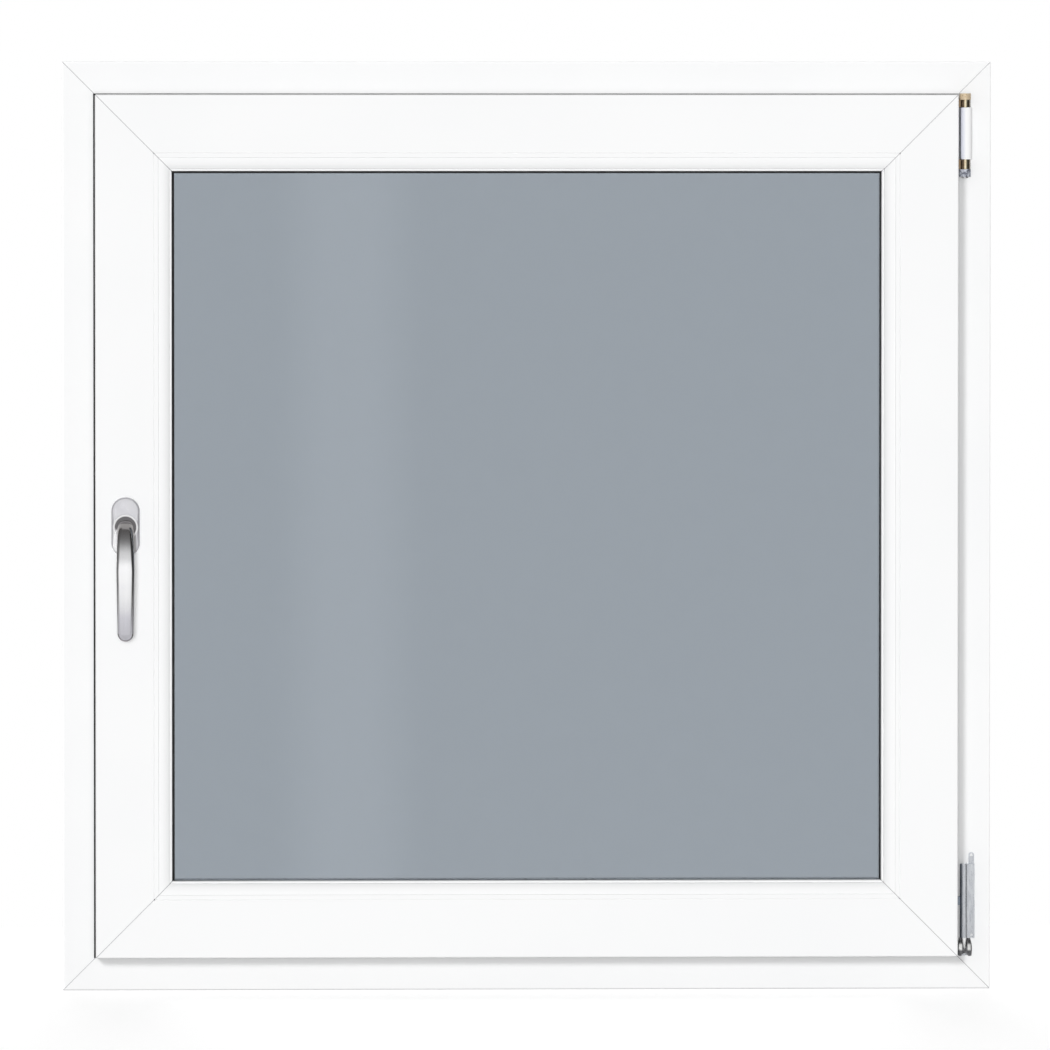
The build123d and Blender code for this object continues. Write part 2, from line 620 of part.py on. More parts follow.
os.makedirs("parts", exist_ok=True)
for node, shape in build().items():
    export_step(shape, f"parts/{node}.step")
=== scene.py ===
"""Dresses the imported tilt-and-turn window: white profile, glazing, seals, handle and hinges.

Everything is in metres in the window's own frame: +Z up, +X to the right as seen from
the room, +Y to the outside, with the origin in the middle of the frame's underside.
"""

from __future__ import annotations

import json
import logging
import math
from dataclasses import dataclass
from enum import Enum
from typing import Any, Iterable, Sequence

import bmesh
import bpy
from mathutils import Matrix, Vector

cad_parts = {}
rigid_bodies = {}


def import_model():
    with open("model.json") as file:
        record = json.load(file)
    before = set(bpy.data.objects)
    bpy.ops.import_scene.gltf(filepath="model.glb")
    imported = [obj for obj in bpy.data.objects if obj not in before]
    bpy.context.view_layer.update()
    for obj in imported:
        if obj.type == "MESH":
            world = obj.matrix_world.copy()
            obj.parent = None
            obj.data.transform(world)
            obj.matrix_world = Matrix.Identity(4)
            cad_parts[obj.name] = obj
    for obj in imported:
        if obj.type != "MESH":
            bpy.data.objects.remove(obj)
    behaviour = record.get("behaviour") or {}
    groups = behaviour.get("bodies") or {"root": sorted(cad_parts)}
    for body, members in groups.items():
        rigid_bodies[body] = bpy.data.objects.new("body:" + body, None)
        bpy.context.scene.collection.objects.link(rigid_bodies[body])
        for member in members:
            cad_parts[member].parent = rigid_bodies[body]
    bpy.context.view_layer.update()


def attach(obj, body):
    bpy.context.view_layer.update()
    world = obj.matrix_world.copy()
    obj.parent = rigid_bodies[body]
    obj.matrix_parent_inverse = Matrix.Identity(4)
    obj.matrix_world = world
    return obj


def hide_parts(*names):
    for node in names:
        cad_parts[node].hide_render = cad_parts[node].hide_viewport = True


LOG = logging.getLogger("window")
MM = 0.001
WINDOW_BODY = "window_unit"
HANDLE_BODY = "handle"
FRAME_NODES = ("frame_head", "frame_sill", "frame_left_jamb", "frame_right_jamb")
SASH_NODES = ("sash_top_rail", "sash_bottom_rail", "sash_left_stile", "sash_right_stile")
BEAD_NODES = ("glazing_bead_top", "glazing_bead_bottom", "glazing_bead_left", "glazing_bead_right")
FLOOR = "floor"

HALF_WIDTH = 500.0 * MM
HEIGHT = 1000.0 * MM
ROOM_FACE_Y = -35.0 * MM
SASH_FACE_Y = -51.0 * MM
HANDLE_X = -432.0 * MM
HANDLE_Z = 500.0 * MM
TIP_Z = 386.8 * MM
HINGE_X = 471.8 * MM
HINGE_Y = -44.6 * MM

Colour = tuple[float, float, float]
Point = tuple[float, float, float]
Flat = tuple[float, float]
EVEN: Point = (1.0, 1.0, 1.0)
# Millimetres to somewhere past every piece, for a range that is open at one end.
FAR = 2000.0
# Points of a skin that are nearer than this become one.
MERGE_GAP = 0.0001 * MM
# Numbers of a Mix node's sockets when it mixes colours.
MIX_SHARE = 0
MIX_LOW = 6
MIX_HIGH = 7
MIX_RESULT = 2


class Grain(Enum):
    """The direction in which an extruded member was drawn, as the stretch of its drawing lines."""

    ALONG_X = (0.02, 1.0, 1.0)
    ALONG_Z = (1.0, 1.0, 0.02)


class Side(Enum):
    """One side of a rectangle, with the grain of the member that lies there."""

    TOP = "top"
    BOTTOM = "bottom"
    LEFT = "left"
    RIGHT = "right"

    @property
    def grain(self) -> Grain:
        """The direction of this side's member."""
        return Grain.ALONG_X if self in (Side.TOP, Side.BOTTOM) else Grain.ALONG_Z


class Measure(Enum):
    """What a patch of colour is bounded by."""

    X = "x"
    Y = "y"
    Z = "z"
    FROM_HANDLE = "distance from the handle's axis"
    FROM_HINGE = "distance from the hinge line"
    FROM_TIP = "distance from the middle of the lever's rounded tip"


class Wire:
    """A node socket that takes part in Python arithmetic."""

    def __init__(self, board: "Board", socket: bpy.types.NodeSocket) -> None:
        """Keep the socket and the board that new nodes go onto."""
        self.board = board
        self.socket = socket

    def also(self, output: Any) -> "Wire":
        """Another output of the same node."""
        return Wire(self.board, self.socket.node.outputs[output])

    def _math(self, operation: str, *values: Any) -> "Wire":
        """One Math node on plain values and wires."""
        sockets = dict(enumerate(values))
        return self.board.node("ShaderNodeMath", {"operation": operation}, sockets)

    def __add__(self, other: Any) -> "Wire":
        """This plus other."""
        return self._math("ADD", self, other)

    def __radd__(self, other: Any) -> "Wire":
        """Other plus this."""
        return self._math("ADD", other, self)

    def __sub__(self, other: Any) -> "Wire":
        """This minus other."""
        return self._math("SUBTRACT", self, other)

    def __rsub__(self, other: Any) -> "Wire":
        """Other minus this."""
        return self._math("SUBTRACT", other, self)

    def __mul__(self, other: Any) -> "Wire":
        """This times other."""
        return self._math("MULTIPLY", self, other)

    def __rmul__(self, other: Any) -> "Wire":
        """Other times this."""
        return self._math("MULTIPLY", other, self)

    def __abs__(self) -> "Wire":
        """The size of this without its sign."""
        return self._math("ABSOLUTE", self)

    def root(self) -> "Wire":
        """The square root of this."""
        return self._math("SQRT", self)

    def smooth(self, low: float, high: float) -> "Wire":
        """A smooth step from 0 at low to 1 at high.

        Args:
            low: Value that gives 0.
            high: Value that gives 1.

        Returns:
            The stepped value.
        """
        settings = {"interpolation_type": "SMOOTHSTEP"}
        sockets = {"Value": self, "From Min": low, "From Max": high}
        return self.board.node("ShaderNodeMapRange", settings, sockets)

    def hump(self, low: float, high: float, soft: float) -> "Wire":
        """A soft-edged band that is 1 between low and high."""
        return self.smooth(low - soft, low + soft) - self.smooth(high - soft, high + soft)


class Board:
    """A node tree under construction, built node by node."""

    def __init__(self, tree: bpy.types.NodeTree) -> None:
        """Start with an empty tree."""
        self.tree = tree
        tree.nodes.clear()

    def node(
        self,
        kind: str,
        settings: dict[str, Any] | None = None,
        sockets: dict[Any, Any] | None = None,
        output: Any = 0,
    ) -> Wire:
        """Add one node.

        Args:
            kind: The node's type.
            settings: Attributes that are set before the sockets.
            sockets: Values or wires by socket name or number.
            output: Which output the wire comes from.

        Returns:
            The wire from that output.
        """
        made = self.tree.nodes.new(kind)
        for key, value in (settings or {}).items():
            setattr(made, key, value)
        for key, value in (sockets or {}).items():
            if isinstance(value, Wire):
                self.tree.links.new(value.socket, made.inputs[key])
            else:
                made.inputs[key].default_value = value
        return Wire(self, made.outputs[output])

    def close(self, kind: str, result: Wire) -> None:
        """Lead the result to the tree's output node."""
        end = self.tree.nodes.new(kind)
        self.tree.links.new(result.socket, end.inputs[0])


class Growth(Board):
    """A geometry tree with named sizes, grown into one plain mesh."""

    def __init__(self, name: str) -> None:
        """Start an empty tree.

        Args:
            name: The name of the piece that it grows.
        """
        super().__init__(bpy.data.node_groups.new(name, "GeometryNodeTree"))
        self.name = name
        self.values: dict[str, Any] = {}
        self.entry = self.tree.nodes.new("NodeGroupInput")
        self.tree.interface.new_socket("Geometry", in_out="OUTPUT", socket_type="NodeSocketGeometry")

    def size(self, name: str, value: Any) -> Wire:
        """A named input of the tree.

        Args:
            name: What it measures.
            value: A count, a length or a point.

        Returns:
            The wire that carries it.
        """
        kinds = {int: "NodeSocketInt", float: "NodeSocketFloat", tuple: "NodeSocketVector"}
        socket = self.tree.interface.new_socket(name, in_out="INPUT", socket_type=kinds[type(value)])
        self.values[socket.identifier] = value
        return Wire(self, self.entry.outputs[name])

    def rectangle(self, width: Wire, height: Wire, radius: Wire, steps: int) -> Wire:
        """A rectangle outline with rounded corners.

        Args:
            width: Its width.
            height: Its height.
            radius: The corners' radius.
            steps: Flats in each corner.

        Returns:
            The closed outline.
        """
        kind = "GeometryNodeCurvePrimitiveQuadrilateral"
        plain = self.node(kind, {"mode": "RECTANGLE"}, {"Width": width, "Height": height}, "Curve")
        sockets = {"Curve": plain, "Count": steps, "Radius": radius}
        return self.node("GeometryNodeFilletCurve", {"mode": "POLY"}, sockets)

    def move(self, shape: Wire, by: Any, turn: Point = (0.0, 0.0, 0.0)) -> Wire:
        """The shape turned by Euler angles and then moved."""
        sockets = {"Geometry": shape, "Translation": by, "Rotation": turn}
        return self.node("GeometryNodeTransform", None, sockets)

    def scatter(self, points: Wire, piece: Wire, turn: Any = (0.0, 0.0, 0.0)) -> Wire:
        """One copy of the piece on each point."""
        sockets = {"Points": points, "Instance": piece, "Rotation": turn}
        return self.node("GeometryNodeInstanceOnPoints", None, sockets)

    def grow(self, shape: Wire, material: bpy.types.Material) -> bpy.types.Object:
        """Turn the tree's shape into a plain mesh piece.

        Args:
            shape: The finished geometry.
            material: Its finish.

        Returns:
            The piece, with no modifier left on it.
        """
        whole = self.node("GeometryNodeRealizeInstances", None, {0: shape})
        dressed = self.node("GeometryNodeSetMaterial", None, {"Geometry": whole, "Material": material})
        self.close("NodeGroupOutput", dressed)
        seed = bpy.data.objects.new("seed", bpy.data.meshes.new("seed"))
        bpy.context.scene.collection.objects.link(seed)
        modifier = seed.modifiers.new("growth", "NODES")
        modifier.node_group = self.tree
        for identifier, value in self.values.items():
            modifier[identifier] = value
        grown = seed.evaluated_get(bpy.context.evaluated_depsgraph_get())
        mesh = bpy.data.meshes.new_from_object(grown)
        seed.modifiers.clear()
        bpy.data.objects.remove(seed)
        return link_piece(self.name, mesh)


class Recipe(Board):
    """A material under construction."""

    def __init__(self, name: str) -> None:
        """Start an empty material.

        Args:
            name: The material's name.
        """
        self.material = bpy.data.materials.new(name)
        self.material.use_nodes = True
        super().__init__(self.material.node_tree)

    def place(self, scale: Point = EVEN) -> Wire:
        """The point on the piece in the window's frame, stretched by a scale."""
        point = self.node("ShaderNodeTexCoord", output="Object")
        return self.node("ShaderNodeMapping", sockets={"Vector": point, "Scale": scale})

    def axes(self) -> tuple[Wire, Wire, Wire]:
        """The point on the piece in the window's frame.

        Returns:
            Its x, y and z.
        """
        point = self.node("ShaderNodeTexCoord", output="Object")
        x = self.node("ShaderNodeSeparateXYZ", None, {0: point}, "X")
        return x, x.also("Y"), x.also("Z")

    def measure(self, kind: Measure) -> Wire:
        """A place along an axis, or a distance from a turning line or the lever's tip.

        Args:
            kind: What is measured.

        Returns:
            The measure in metres.
        """
        x, y, z = self.axes()
        if kind is Measure.FROM_HANDLE:
            across, along = x - HANDLE_X, z - HANDLE_Z
        elif kind is Measure.FROM_TIP:
            across, along = x - HANDLE_X, z - TIP_Z
        elif kind is Measure.FROM_HINGE:
            across, along = x - HINGE_X, y - HINGE_Y
        else:
            return {Measure.X: x, Measure.Y: y, Measure.Z: z}[kind]
        return (across * across + along * along).root()

    def noise(self, scale: float, detail: float, stretch: Point = EVEN) -> Wire:
        """Soft noise from 0 to 1.

        Args:
            scale: Blots to a metre.
            detail: Finer layers.
            stretch: How much quicker it changes along each axis.

        Returns:
            The noise value.
        """
        sockets = {"Vector": self.place(stretch), "Scale": scale, "Detail": detail}
        return self.node("ShaderNodeTexNoise", sockets=sockets)

    def blend(self, share: Wire, low: Wire | Colour, high: Colour) -> Wire:
        """A colour between two.

        Args:
            share: How much of the second it has, from 0 to 1.
            low: The first colour, plain or as a wire.
            high: The second colour.

        Returns:
            The colour between them.
        """
        below = low if isinstance(low, Wire) else (*low, 1.0)
        sockets = {MIX_SHARE: share, MIX_LOW: below, MIX_HIGH: (*high, 1.0)}
        return self.node("ShaderNodeMix", {"data_type": "RGBA"}, sockets, MIX_RESULT)

    def stain(self, colour: Wire, tone_and_light_patches: Sequence["Stain"]) -> Wire:
        """A colour wire with patches over it: other colours of the thing, or painted light and shade.

        Args:
            colour: The colour below.
            tone_and_light_patches: The patches, the lowest first.

        Returns:
            The colour on top.
        """
        for stain in tone_and_light_patches:
            share = stain.share
            for bound in stain.bounds:
                share = share * bound.inside(self)
            colour = self.blend(share, colour, stain.colour)
        return colour

    def bump(self, height: Wire, distance: float, strength: float) -> Wire:
        """A normal from a height from 0 to 1, where 1 is worth a distance in metres."""
        sockets = {"Height": height, "Distance": distance, "Strength": strength}
        return self.node("ShaderNodeBump", sockets=sockets)

    def surface(self, **sockets: Any) -> bpy.types.Material:
        """Close the material with one principled shader.

        Args:
            sockets: Its values or wires, with underscores for spaces in the names.

        Returns:
            The finished material.
        """
        named = {key.replace("_", " "): value for key, value in sockets.items()}
        shader = self.node("ShaderNodeBsdfPrincipled", sockets=named)
        return self.output(shader)

    def output(self, shader: Wire) -> bpy.types.Material:
        """Close the material with any shader."""
        self.close("ShaderNodeOutputMaterial", shader)
        return self.material


@dataclass(frozen=True)
class Bound:
    """A soft-edged range of one measure, in millimetres from a zero that is given in metres."""

    measure: Measure
    low: float
    high: float
    soft: float = 0.5
    zero: float = 0.0

    def inside(self, recipe: Recipe) -> Wire:
        """How far a point on the piece lies in the range, from 0 to 1."""
        low, high = self.zero + self.low * MM, self.zero + self.high * MM
        return recipe.measure(self.measure).hump(low, high, self.soft * MM)


@dataclass(frozen=True)
class Stain:
    """A patch of another colour that lies inside all its bounds: a colour of the thing itself, or painted
    light or shade.
    """

    colour: Colour
    bounds: tuple[Bound, ...]
    share: float = 1.0


@dataclass(frozen=True, kw_only=True)
class Finish:
    """A solid surface: soft blots of a second colour, patches of other colour or of painted light and
    shade over them, and a fine grain.
    """

    name: str
    base: Colour
    blot: Colour
    roughness: float
    blot_scale: float
    blot_detail: float = 3.0
    blot_stretch: Point = EVEN
    blot_edges: Flat | None = None
    blot_roughness: float
    grain_scale: float
    grain_detail: float = 2.0
    grain_stretch: Point = EVEN
    grain_roughness: float = 0.0
    grain_depth: float
    grain_strength: float
    ior: float = 1.5
    metal: float = 0.0
    tone_and_light_patches: tuple[Stain, ...] = ()

    def make(self) -> bpy.types.Material:
        """Build the material.

        Returns:
            The material.
        """
        recipe = Recipe(self.name)
        blot = recipe.noise(self.blot_scale, self.blot_detail, self.blot_stretch)
        grain = recipe.noise(self.grain_scale, self.grain_detail, self.grain_stretch)
        share = blot.smooth(*self.blot_edges) if self.blot_edges else blot
        roughness = self.roughness + blot * self.blot_roughness
        if self.grain_roughness:
            roughness = roughness + grain * self.grain_roughness
        return recipe.surface(
            Base_Color=self.mark(recipe, recipe.blend(share, self.base, self.blot)),
            Metallic=self.metal,
            Roughness=roughness,
            IOR=self.ior,
            Normal=recipe.bump(grain, self.grain_depth, self.grain_strength),
        )

    def mark(self, recipe: Recipe, colour: Wire) -> Wire:
        """The surface's colour with its patches over it."""
        return recipe.stain(colour, self.tone_and_light_patches)


@dataclass(frozen=True, kw_only=True)
class WhiteProfileFinish(Finish):
    """Smooth white extruded plastic with drawing lines and a greyer weld at each mitre."""

    base: Colour = (0.915, 0.918, 0.92)
    blot: Colour = (0.9, 0.904, 0.9085)
    roughness: float = 0.27
    blot_scale: float = 5.0
    blot_edges: Flat | None = (0.35, 0.75)
    blot_roughness: float = 0.12
    grain_scale: float = 900.0
    grain_detail: float = 3.0
    grain_roughness: float = 0.05
    grain_depth: float = 0.02 * MM
    grain_strength: float = 0.35
    ior: float = 1.53
    weld: Colour = (0.4, 0.4, 0.41)
    weld_edges: Flat = (0.3 * MM, 0.65 * MM)
    weld_share: float = 0.95

    def mark(self, recipe: Recipe, colour: Wire) -> Wire:
        """Lay the weld along the mitre lines.

        Args:
            recipe: The material under construction.
            colour: The plastic's own colour.

        Returns:
            The colour with the weld over it.
        """
        x, _, z = recipe.axes()
        mitre = abs(abs(x) - abs(z - HEIGHT / 2))
        seam = 1.0 - mitre.smooth(*self.weld_edges)
        return recipe.blend(seam * self.weld_share, colour, self.weld)


@dataclass(frozen=True, kw_only=True)
class MouldedFinish(Finish):
    """White injection-moulded plastic, a little glossier than the profile."""

    base: Colour = (0.9, 0.902, 0.905)
    blot: Colour = (0.85, 0.855, 0.865)
    roughness: float = 0.25
    blot_scale: float = 60.0
    blot_roughness: float = 0.15
    grain_scale: float = 2200.0
    grain_depth: float = 0.02 * MM
    grain_strength: float = 0.3


@dataclass(frozen=True, kw_only=True)
class SealFinish(Finish):
    """Matt black rubber with a dusty bloom."""

    base: Colour = (0.012, 0.012, 0.013)
    blot: Colour = (0.035, 0.036, 0.038)
    roughness: float = 0.55
    blot_scale: float = 90.0
    blot_detail: float = 4.0
    blot_edges: Flat | None = (0.4, 0.8)
    blot_roughness: float = 0.2
    grain_scale: float = 3000.0
    grain_depth: float = 0.03 * MM
    grain_strength: float = 0.5


@dataclass(frozen=True, kw_only=True)
class SatinMetalFinish(Finish):
    """Satin anodised metal with a soft cloudiness and a fine grain."""

    blot_scale: float = 90.0
    blot_edges: Flat | None = (0.3, 0.7)
    blot_roughness: float = 0.05
    grain_scale: float = 2600.0
    grain_roughness: float = 0.03
    grain_depth: float = 0.006 * MM
    grain_strength: float = 0.4
    metal: float = 1.0


@dataclass(frozen=True, kw_only=True)
class PlatedFinish(Finish):
    """Plated steel with blotches and drawing lines."""

    blot_scale: float = 180.0
    blot_detail: float = 4.0
    blot_edges: Flat | None = (0.32, 0.68)
    blot_roughness: float = 0.12
    grain_scale: float = 1200.0
    grain_detail: float = 3.0
    grain_stretch: Point = (1.0, 1.0, 0.08)
    grain_roughness: float = 0.05
    grain_depth: float = 0.02 * MM
    grain_strength: float = 0.5
    metal: float = 1.0


@dataclass(frozen=True)
class PaneFinish:
    """Clear float glass with a cool grey tint and the faintest smears."""

    name: str
    tint: Colour = (0.6, 0.639, 0.677)
    ior: float = 1.5
    smear_scale: float = 3.0
    smear_detail: float = 4.0
    smear_edges: Flat = (0.55, 0.9)
    smear_roughness: float = 0.02

    def make(self) -> bpy.types.Material:
        """Build the material.

        Returns:
            The material.
        """
        recipe = Recipe(self.name)
        smear = recipe.noise(self.smear_scale, self.smear_detail)
        return recipe.surface(
            Base_Color=(*self.tint, 1.0),
            Roughness=smear.smooth(*self.smear_edges) * self.smear_roughness,
            IOR=self.ior,
            Transmission_Weight=1.0,
        )


@dataclass(frozen=True)
class PunchedFinish:
    """The shaded inside of a punched hole."""

    name: str
    colour: Colour = (0.03, 0.03, 0.032)
    rim: Colour = (0.09, 0.09, 0.095)
    roughness: float = 0.7
    dust_scale: float = 1500.0
    dust_detail: float = 2.0
    dust_roughness: float = 0.2

    def make(self) -> bpy.types.Material:
        """Build the material.

        Returns:
            The material.
        """
        recipe = Recipe(self.name)
        dust = recipe.noise(self.dust_scale, self.dust_detail)
        return recipe.surface(
            Base_Color=recipe.blend(dust, self.colour, self.rim),
            Roughness=self.roughness + dust * self.dust_roughness,
        )


def link_piece(name: str, mesh: bpy.types.Mesh, crease: float = 35.0) -> bpy.types.Object:
    """Put a mesh into the scene as a smooth piece with creased edges.

    Args:
        name: The piece's name.
        mesh: Its mesh, already in place.
        crease: Edges that turn by more than this stay sharp, in degrees.

    Returns:
        The piece.
    """
    mesh.name = name
    mesh.shade_smooth()
    mesh.set_sharp_from_angle(angle=math.radians(crease))
    piece = bpy.data.objects.new(name, mesh)
    bpy.context.scene.collection.objects.link(piece)
    return piece


def dress(names: Iterable[str], material: bpy.types.Material) -> None:
    """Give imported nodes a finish.

    Args:
        names: Node names.
        material: The finish.
    """
    for name in names:
        mesh = bpy.data.objects[name].data
        mesh.materials.clear()
        mesh.materials.append(material)


def settle(piece: bpy.types.Object, body: str, slot: str, *nodes: str) -> None:
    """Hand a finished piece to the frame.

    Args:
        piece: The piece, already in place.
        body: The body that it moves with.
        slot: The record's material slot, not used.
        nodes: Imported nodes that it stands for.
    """
    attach(piece, body)
    if nodes:
        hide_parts(*nodes)
    LOG.info("piece %s on %s, %d faces", piece.name, body, len(piece.data.polygons))


def loft(
    name: str, loops: Sequence[Sequence[Vector]], caps: tuple[bool, bool], closed: bool = False
) -> bpy.types.Object:
    """A skin through loops that have the same number of points.

    Args:
        name: The piece's name.
        loops: Loops from one end to the other.
        caps: Whether the first and the last loop get a face.
        closed: Whether the last loop leads back to the first.

    Returns:
        The piece, with faces that point outwards.
    """
    shape = bmesh.new()
    rings = [[shape.verts.new(point) for point in loop] for loop in loops]
    following = rings[1:] + rings[:1] if closed else rings[1:]
    for lower, upper in zip(rings, following):
        for i, start in enumerate(lower):
            j = (i + 1) % len(lower)
            shape.faces.new((start, lower[j], upper[j], upper[i]))
    for ring, wanted in zip((rings[0], rings[-1]), caps):
        if wanted:
            shape.faces.new(ring)
    bmesh.ops.remove_doubles(shape, verts=shape.verts, dist=MERGE_GAP)
    bmesh.ops.recalc_face_normals(shape, faces=shape.faces)
    mesh = bpy.data.meshes.new(name)
    shape.to_mesh(mesh)
    shape.free()
    return link_piece(name, mesh)


@dataclass
class ProfileFrame:
    """The welded outer frame, the sash and the glazing beads, each in the order of the sides."""

    frame: tuple[str, ...] = FRAME_NODES
    sash: tuple[str, ...] = SASH_NODES
    beads: tuple[str, ...] = BEAD_NODES

    def build(self) -> None:
        """Dress each member with the plastic drawn along it."""
        finishes = {
            grain: WhiteProfileFinish(
                name=f"white_profile_{grain.name.lower()}", grain_stretch=grain.value
            ).make()
            for grain in Grain
        }
        for side, *names in zip(Side, self.frame, self.sash, self.beads):
            dress(names, finishes[side.grain])
            LOG.info("members %s", ", ".join(names))


@dataclass
class GlazedUnit:
    """Two panes and the perforated metal spacer between them."""

    panes: tuple[str, ...] = ("inner_pane", "outer_pane")
    inner_u: float = 116.8 * MM
    middle_y: float = -13.5 * MM
    hole_radius: float = 0.5 * MM
    hole_depth: float = 0.6 * MM
    hole_proud: float = 0.03 * MM
    hole_sides: int = 8
    hole_pitch: float = 6.0 * MM
    row_gap: float = 8.0 * MM
    end_gap: float = 8.0 * MM
    metal: Finish = PlatedFinish(
        name="spacer_metal", base=(0.5, 0.51, 0.52), blot=(0.62, 0.63, 0.64), roughness=0.38
    )

    def build(self) -> None:
        """Dress the panes and the spacer, and punch the spacer's rows of holes."""
        dress(self.panes, PaneFinish("pane_glass").make())
        for name in self.panes:
            bpy.data.objects[name].visible_shadow = False
        dress(("glass_spacer",), self.metal.make())
        settle(self.perforations(), WINDOW_BODY, "spacer_metal")
        LOG.info("panes and spacer")

    def perforations(self) -> bpy.types.Object:
        """Two rows of punched holes round the spacer's inner face.

        Returns:
            The holes as one piece.
        """
        growth = Growth("spacer_holes")
        half = HALF_WIDTH - self.inner_u
        count = int(2 * (half - self.end_gap) / self.hole_pitch) + 1
        run = growth.size("Row Length", (count - 1) * self.hole_pitch)
        gap = growth.size("Row Gap", self.row_gap)
        holes = growth.size("Holes In A Row", count)
        radius = growth.size("Hole Radius", self.hole_radius)
        depth = growth.size("Hole Depth", self.hole_depth)
        drop = growth.size("Drop", (0.0, 0.0, self.hole_proud - self.hole_depth / 2 - half))
        middle = growth.size("Middle", (0.0, self.middle_y, HEIGHT / 2))
        hole = growth.node(
            "GeometryNodeMeshCylinder",
            None,
            {"Vertices": self.hole_sides, "Radius": radius, "Depth": depth},
        )
        rows = growth.node(
            "GeometryNodeMeshGrid",
            None,
            {"Size X": run, "Size Y": gap, "Vertices X": holes, "Vertices Y": 2},
        )
        side = growth.move(growth.scatter(rows, hole), drop)
        sides = growth.node(
            "GeometryNodeMeshLine", None, {"Count": len(Side), "Offset": (0.0, 0.0, 0.0)}
        )
        quarter = growth.node("GeometryNodeInputIndex") * (math.tau / len(Side))
        turn = growth.node("ShaderNodeCombineXYZ", None, {"Y": quarter})
        ring = growth.scatter(sides, side, turn)
        return growth.grow(growth.move(ring, middle), PunchedFinish("spacer_hole").make())


@dataclass(frozen=True)
class SealRun:
    """One closed rectangle of seal, in millimetres: the edge that it peeps out from and by how much."""

    node: str
    edge_u: float
    points_in: bool
    width: float
    room_v: float
    thickness: float
    reveal: dict[Side, float]

    def centre_u(self, side: Side) -> float:
        """How far the seal's middle line lies from the frame's outer edge on one side, in metres."""
        way = 1 if self.points_in else -1
        return (self.edge_u + way * (self.reveal[side] - self.width / 2)) * MM


def reveals(top: float, bottom: float, left: float, right: float) -> dict[Side, float]:
    """How much of a seal shows on each side."""
    return {Side.TOP: top, Side.BOTTOM: bottom, Side.LEFT: left, Side.RIGHT: right}


@dataclass
class SealSet:
    """The four rubber seals, each swept round its rectangle."""

    edge_radius: float = 0.9 * MM
    edge_steps: int = 4
    runs: tuple[SealRun, ...] = (
        SealRun(
            node="sash_overlap_seal",
            edge_u=35.5,
            points_in=False,
            width=7.0,
            room_v=-3.5,
            thickness=3.5,
            reveal=reveals(1.0, 0.4, 1.9, 0.4),
        ),
        SealRun(
            node="frame_stop_seal",
            edge_u=66.0,
            points_in=True,
            width=9.0,
            room_v=54.0,
            thickness=4.0,
            reveal=reveals(2.0, 2.0, 2.0, 2.0),
        ),
        SealRun(
            node="inner_glass_seal",
            edge_u=117.8,
            points_in=True,
            width=8.0,
            room_v=6.5,
            thickness=3.0,
            reveal=reveals(2.4, -0.2, 2.8, 1.2),
        ),
        SealRun(
            node="outer_glass_seal",
            edge_u=117.8,
            points_in=True,
            width=8.0,
            room_v=33.5,
            thickness=3.5,
            reveal=reveals(2.4, -1.0, 2.4, 0.0),
        ),
    )

    def build(self) -> None:
        """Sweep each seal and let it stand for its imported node."""
        rubber = SealFinish(name="black_seal").make()
        for run in self.runs:
            settle(self.sweep(run, rubber), WINDOW_BODY, "black_seal", run.node)

    def sweep(self, run: SealRun, rubber: bpy.types.Material) -> bpy.types.Object:
        """Sweep a rounded section round one rectangle.

        Args:
            run: The seal's place and section.
            rubber: Its finish.

        Returns:
            The swept seal.
        """
        growth = Growth(f"{run.node}_swept")
        left = run.centre_u(Side.LEFT) - HALF_WIDTH
        right = HALF_WIDTH - run.centre_u(Side.RIGHT)
        low = run.centre_u(Side.BOTTOM)
        high = HEIGHT - run.centre_u(Side.TOP)
        corners = {
            f"Point {i + 1}": growth.size(f"Corner {i + 1}", (x, z, 0.0))
            for i, (x, z) in enumerate(((left, low), (right, low), (right, high), (left, high)))
        }
        kind = "GeometryNodeCurvePrimitiveQuadrilateral"
        path = growth.node(kind, {"mode": "POINTS"}, corners, "Curve")
        path = growth.node("GeometryNodeSetCurveNormal", {"mode": "Z_UP"}, {"Curve": path})
        mitred_width = growth.size("Mitred Width", run.width * MM * math.sqrt(2.0))
        thickness = growth.size("Thickness", run.thickness * MM)
        radius = growth.size("Edge Radius", self.edge_radius)
        section = growth.rectangle(mitred_width, thickness, radius, self.edge_steps)
        swept = growth.node("GeometryNodeCurveToMesh", None, {"Curve": path, "Profile Curve": section})
        depth = ROOM_FACE_Y + (run.room_v + run.thickness / 2) * MM
        place = growth.size("Depth", (0.0, depth, 0.0))
        return growth.grow(growth.move(swept, place, (math.pi / 2, 0.0, 0.0)), rubber)


